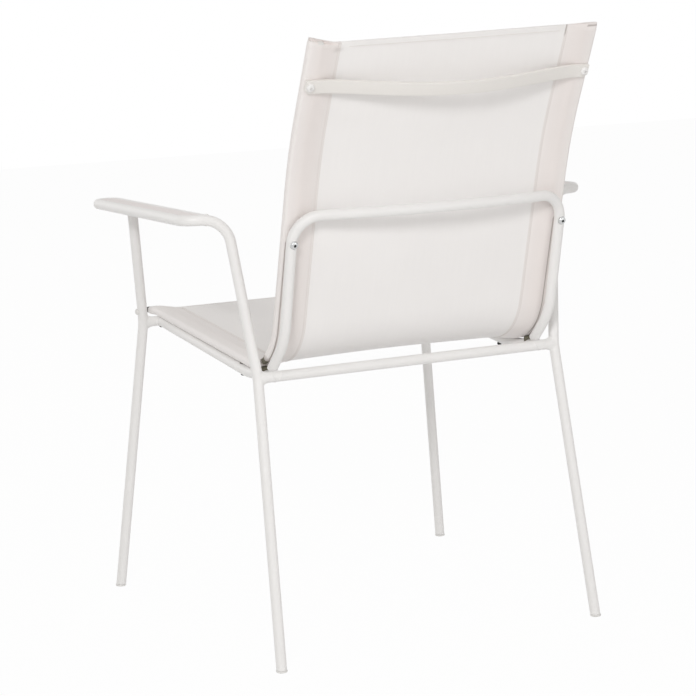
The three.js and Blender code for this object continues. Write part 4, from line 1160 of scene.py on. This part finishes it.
def seen_share(nodes, links):
    """1 on rays that the camera, a gloss or a glass sends out, and 0 on those that light the object."""
    rays = nodes.new("ShaderNodeLightPath")
    seen = rays.outputs["Is Camera Ray"]
    for kind in ("Is Glossy Ray", "Is Transmission Ray"):
        either = nodes.new("ShaderNodeMath")
        either.operation = "MAXIMUM"
        links.new(seen, either.inputs[0])
        links.new(rays.outputs[kind], either.inputs[1])
        seen = either.outputs[0]
    return seen


def floor_material():
    s = Shader("pale_floor", (0.9, 0.9, 0.9, 1.0), 0.6, specular=0.1)
    s.link(s.tint(s.noise(3.0), 0.99, 1.0), s.surface.inputs["Base Color"])
    glow = s.nodes.new("ShaderNodeEmission")
    glow.inputs["Strength"].default_value = 1.0
    mix = s.nodes.new("ShaderNodeMixShader")
    share = s.math("MULTIPLY", seen_share(s.nodes, s.links), FLOOR_GLOW)
    s.link(share, mix.inputs["Fac"])
    s.link(s.surface.outputs[0], mix.inputs[1])
    s.link(glow.outputs[0], mix.inputs[2])
    s.link(mix.outputs[0], s.nodes["Material Output"].inputs["Surface"])
    return s.material


floor_mesh = bpy.data.meshes.new("floor")
floor_corners = [(sx * FLOOR, sy * FLOOR, 0) for sx, sy in ((-1, -1), (1, -1), (1, 1), (-1, 1))]
floor_mesh.from_pydata(floor_corners, [], [(0, 1, 2, 3)])
floor_mesh.materials.append(floor_material())
floor = bpy.data.objects.new("floor", floor_mesh)
bpy.context.scene.collection.objects.link(floor)

world = bpy.data.worlds.new("studio")
world.use_nodes = True
bpy.context.scene.world = world
nodes, links = world.node_tree.nodes, world.node_tree.links
ambient = nodes["Background"]
ambient.inputs["Color"].default_value = AMBIENT_COLOR
ambient.inputs["Strength"].default_value = AMBIENT
white = nodes.new("ShaderNodeBackground")
white.inputs["Color"].default_value = (1.0, 1.0, 1.0, 1.0)
white.inputs["Strength"].default_value = 1.0
mix = nodes.new("ShaderNodeMixShader")
links.new(seen_share(nodes, links), mix.inputs["Fac"])
links.new(ambient.outputs[0], mix.inputs[1])
links.new(white.outputs[0], mix.inputs[2])
links.new(mix.outputs[0], nodes["World Output"].inputs["Surface"])

for name, place, size, power in LAMPS:
    data = bpy.data.lights.new(name, "AREA")
    data.shape = "SQUARE"
    data.size = size
    data.energy = power
    lamp = bpy.data.objects.new(name, data)
    lamp.location = place
    lamp.rotation_euler = (LAMP_AIM - Vector(place)).to_track_quat("-Z", "Y").to_euler()
    bpy.context.scene.collection.objects.link(lamp)

bpy.context.scene.view_settings.view_transform = "Standard"
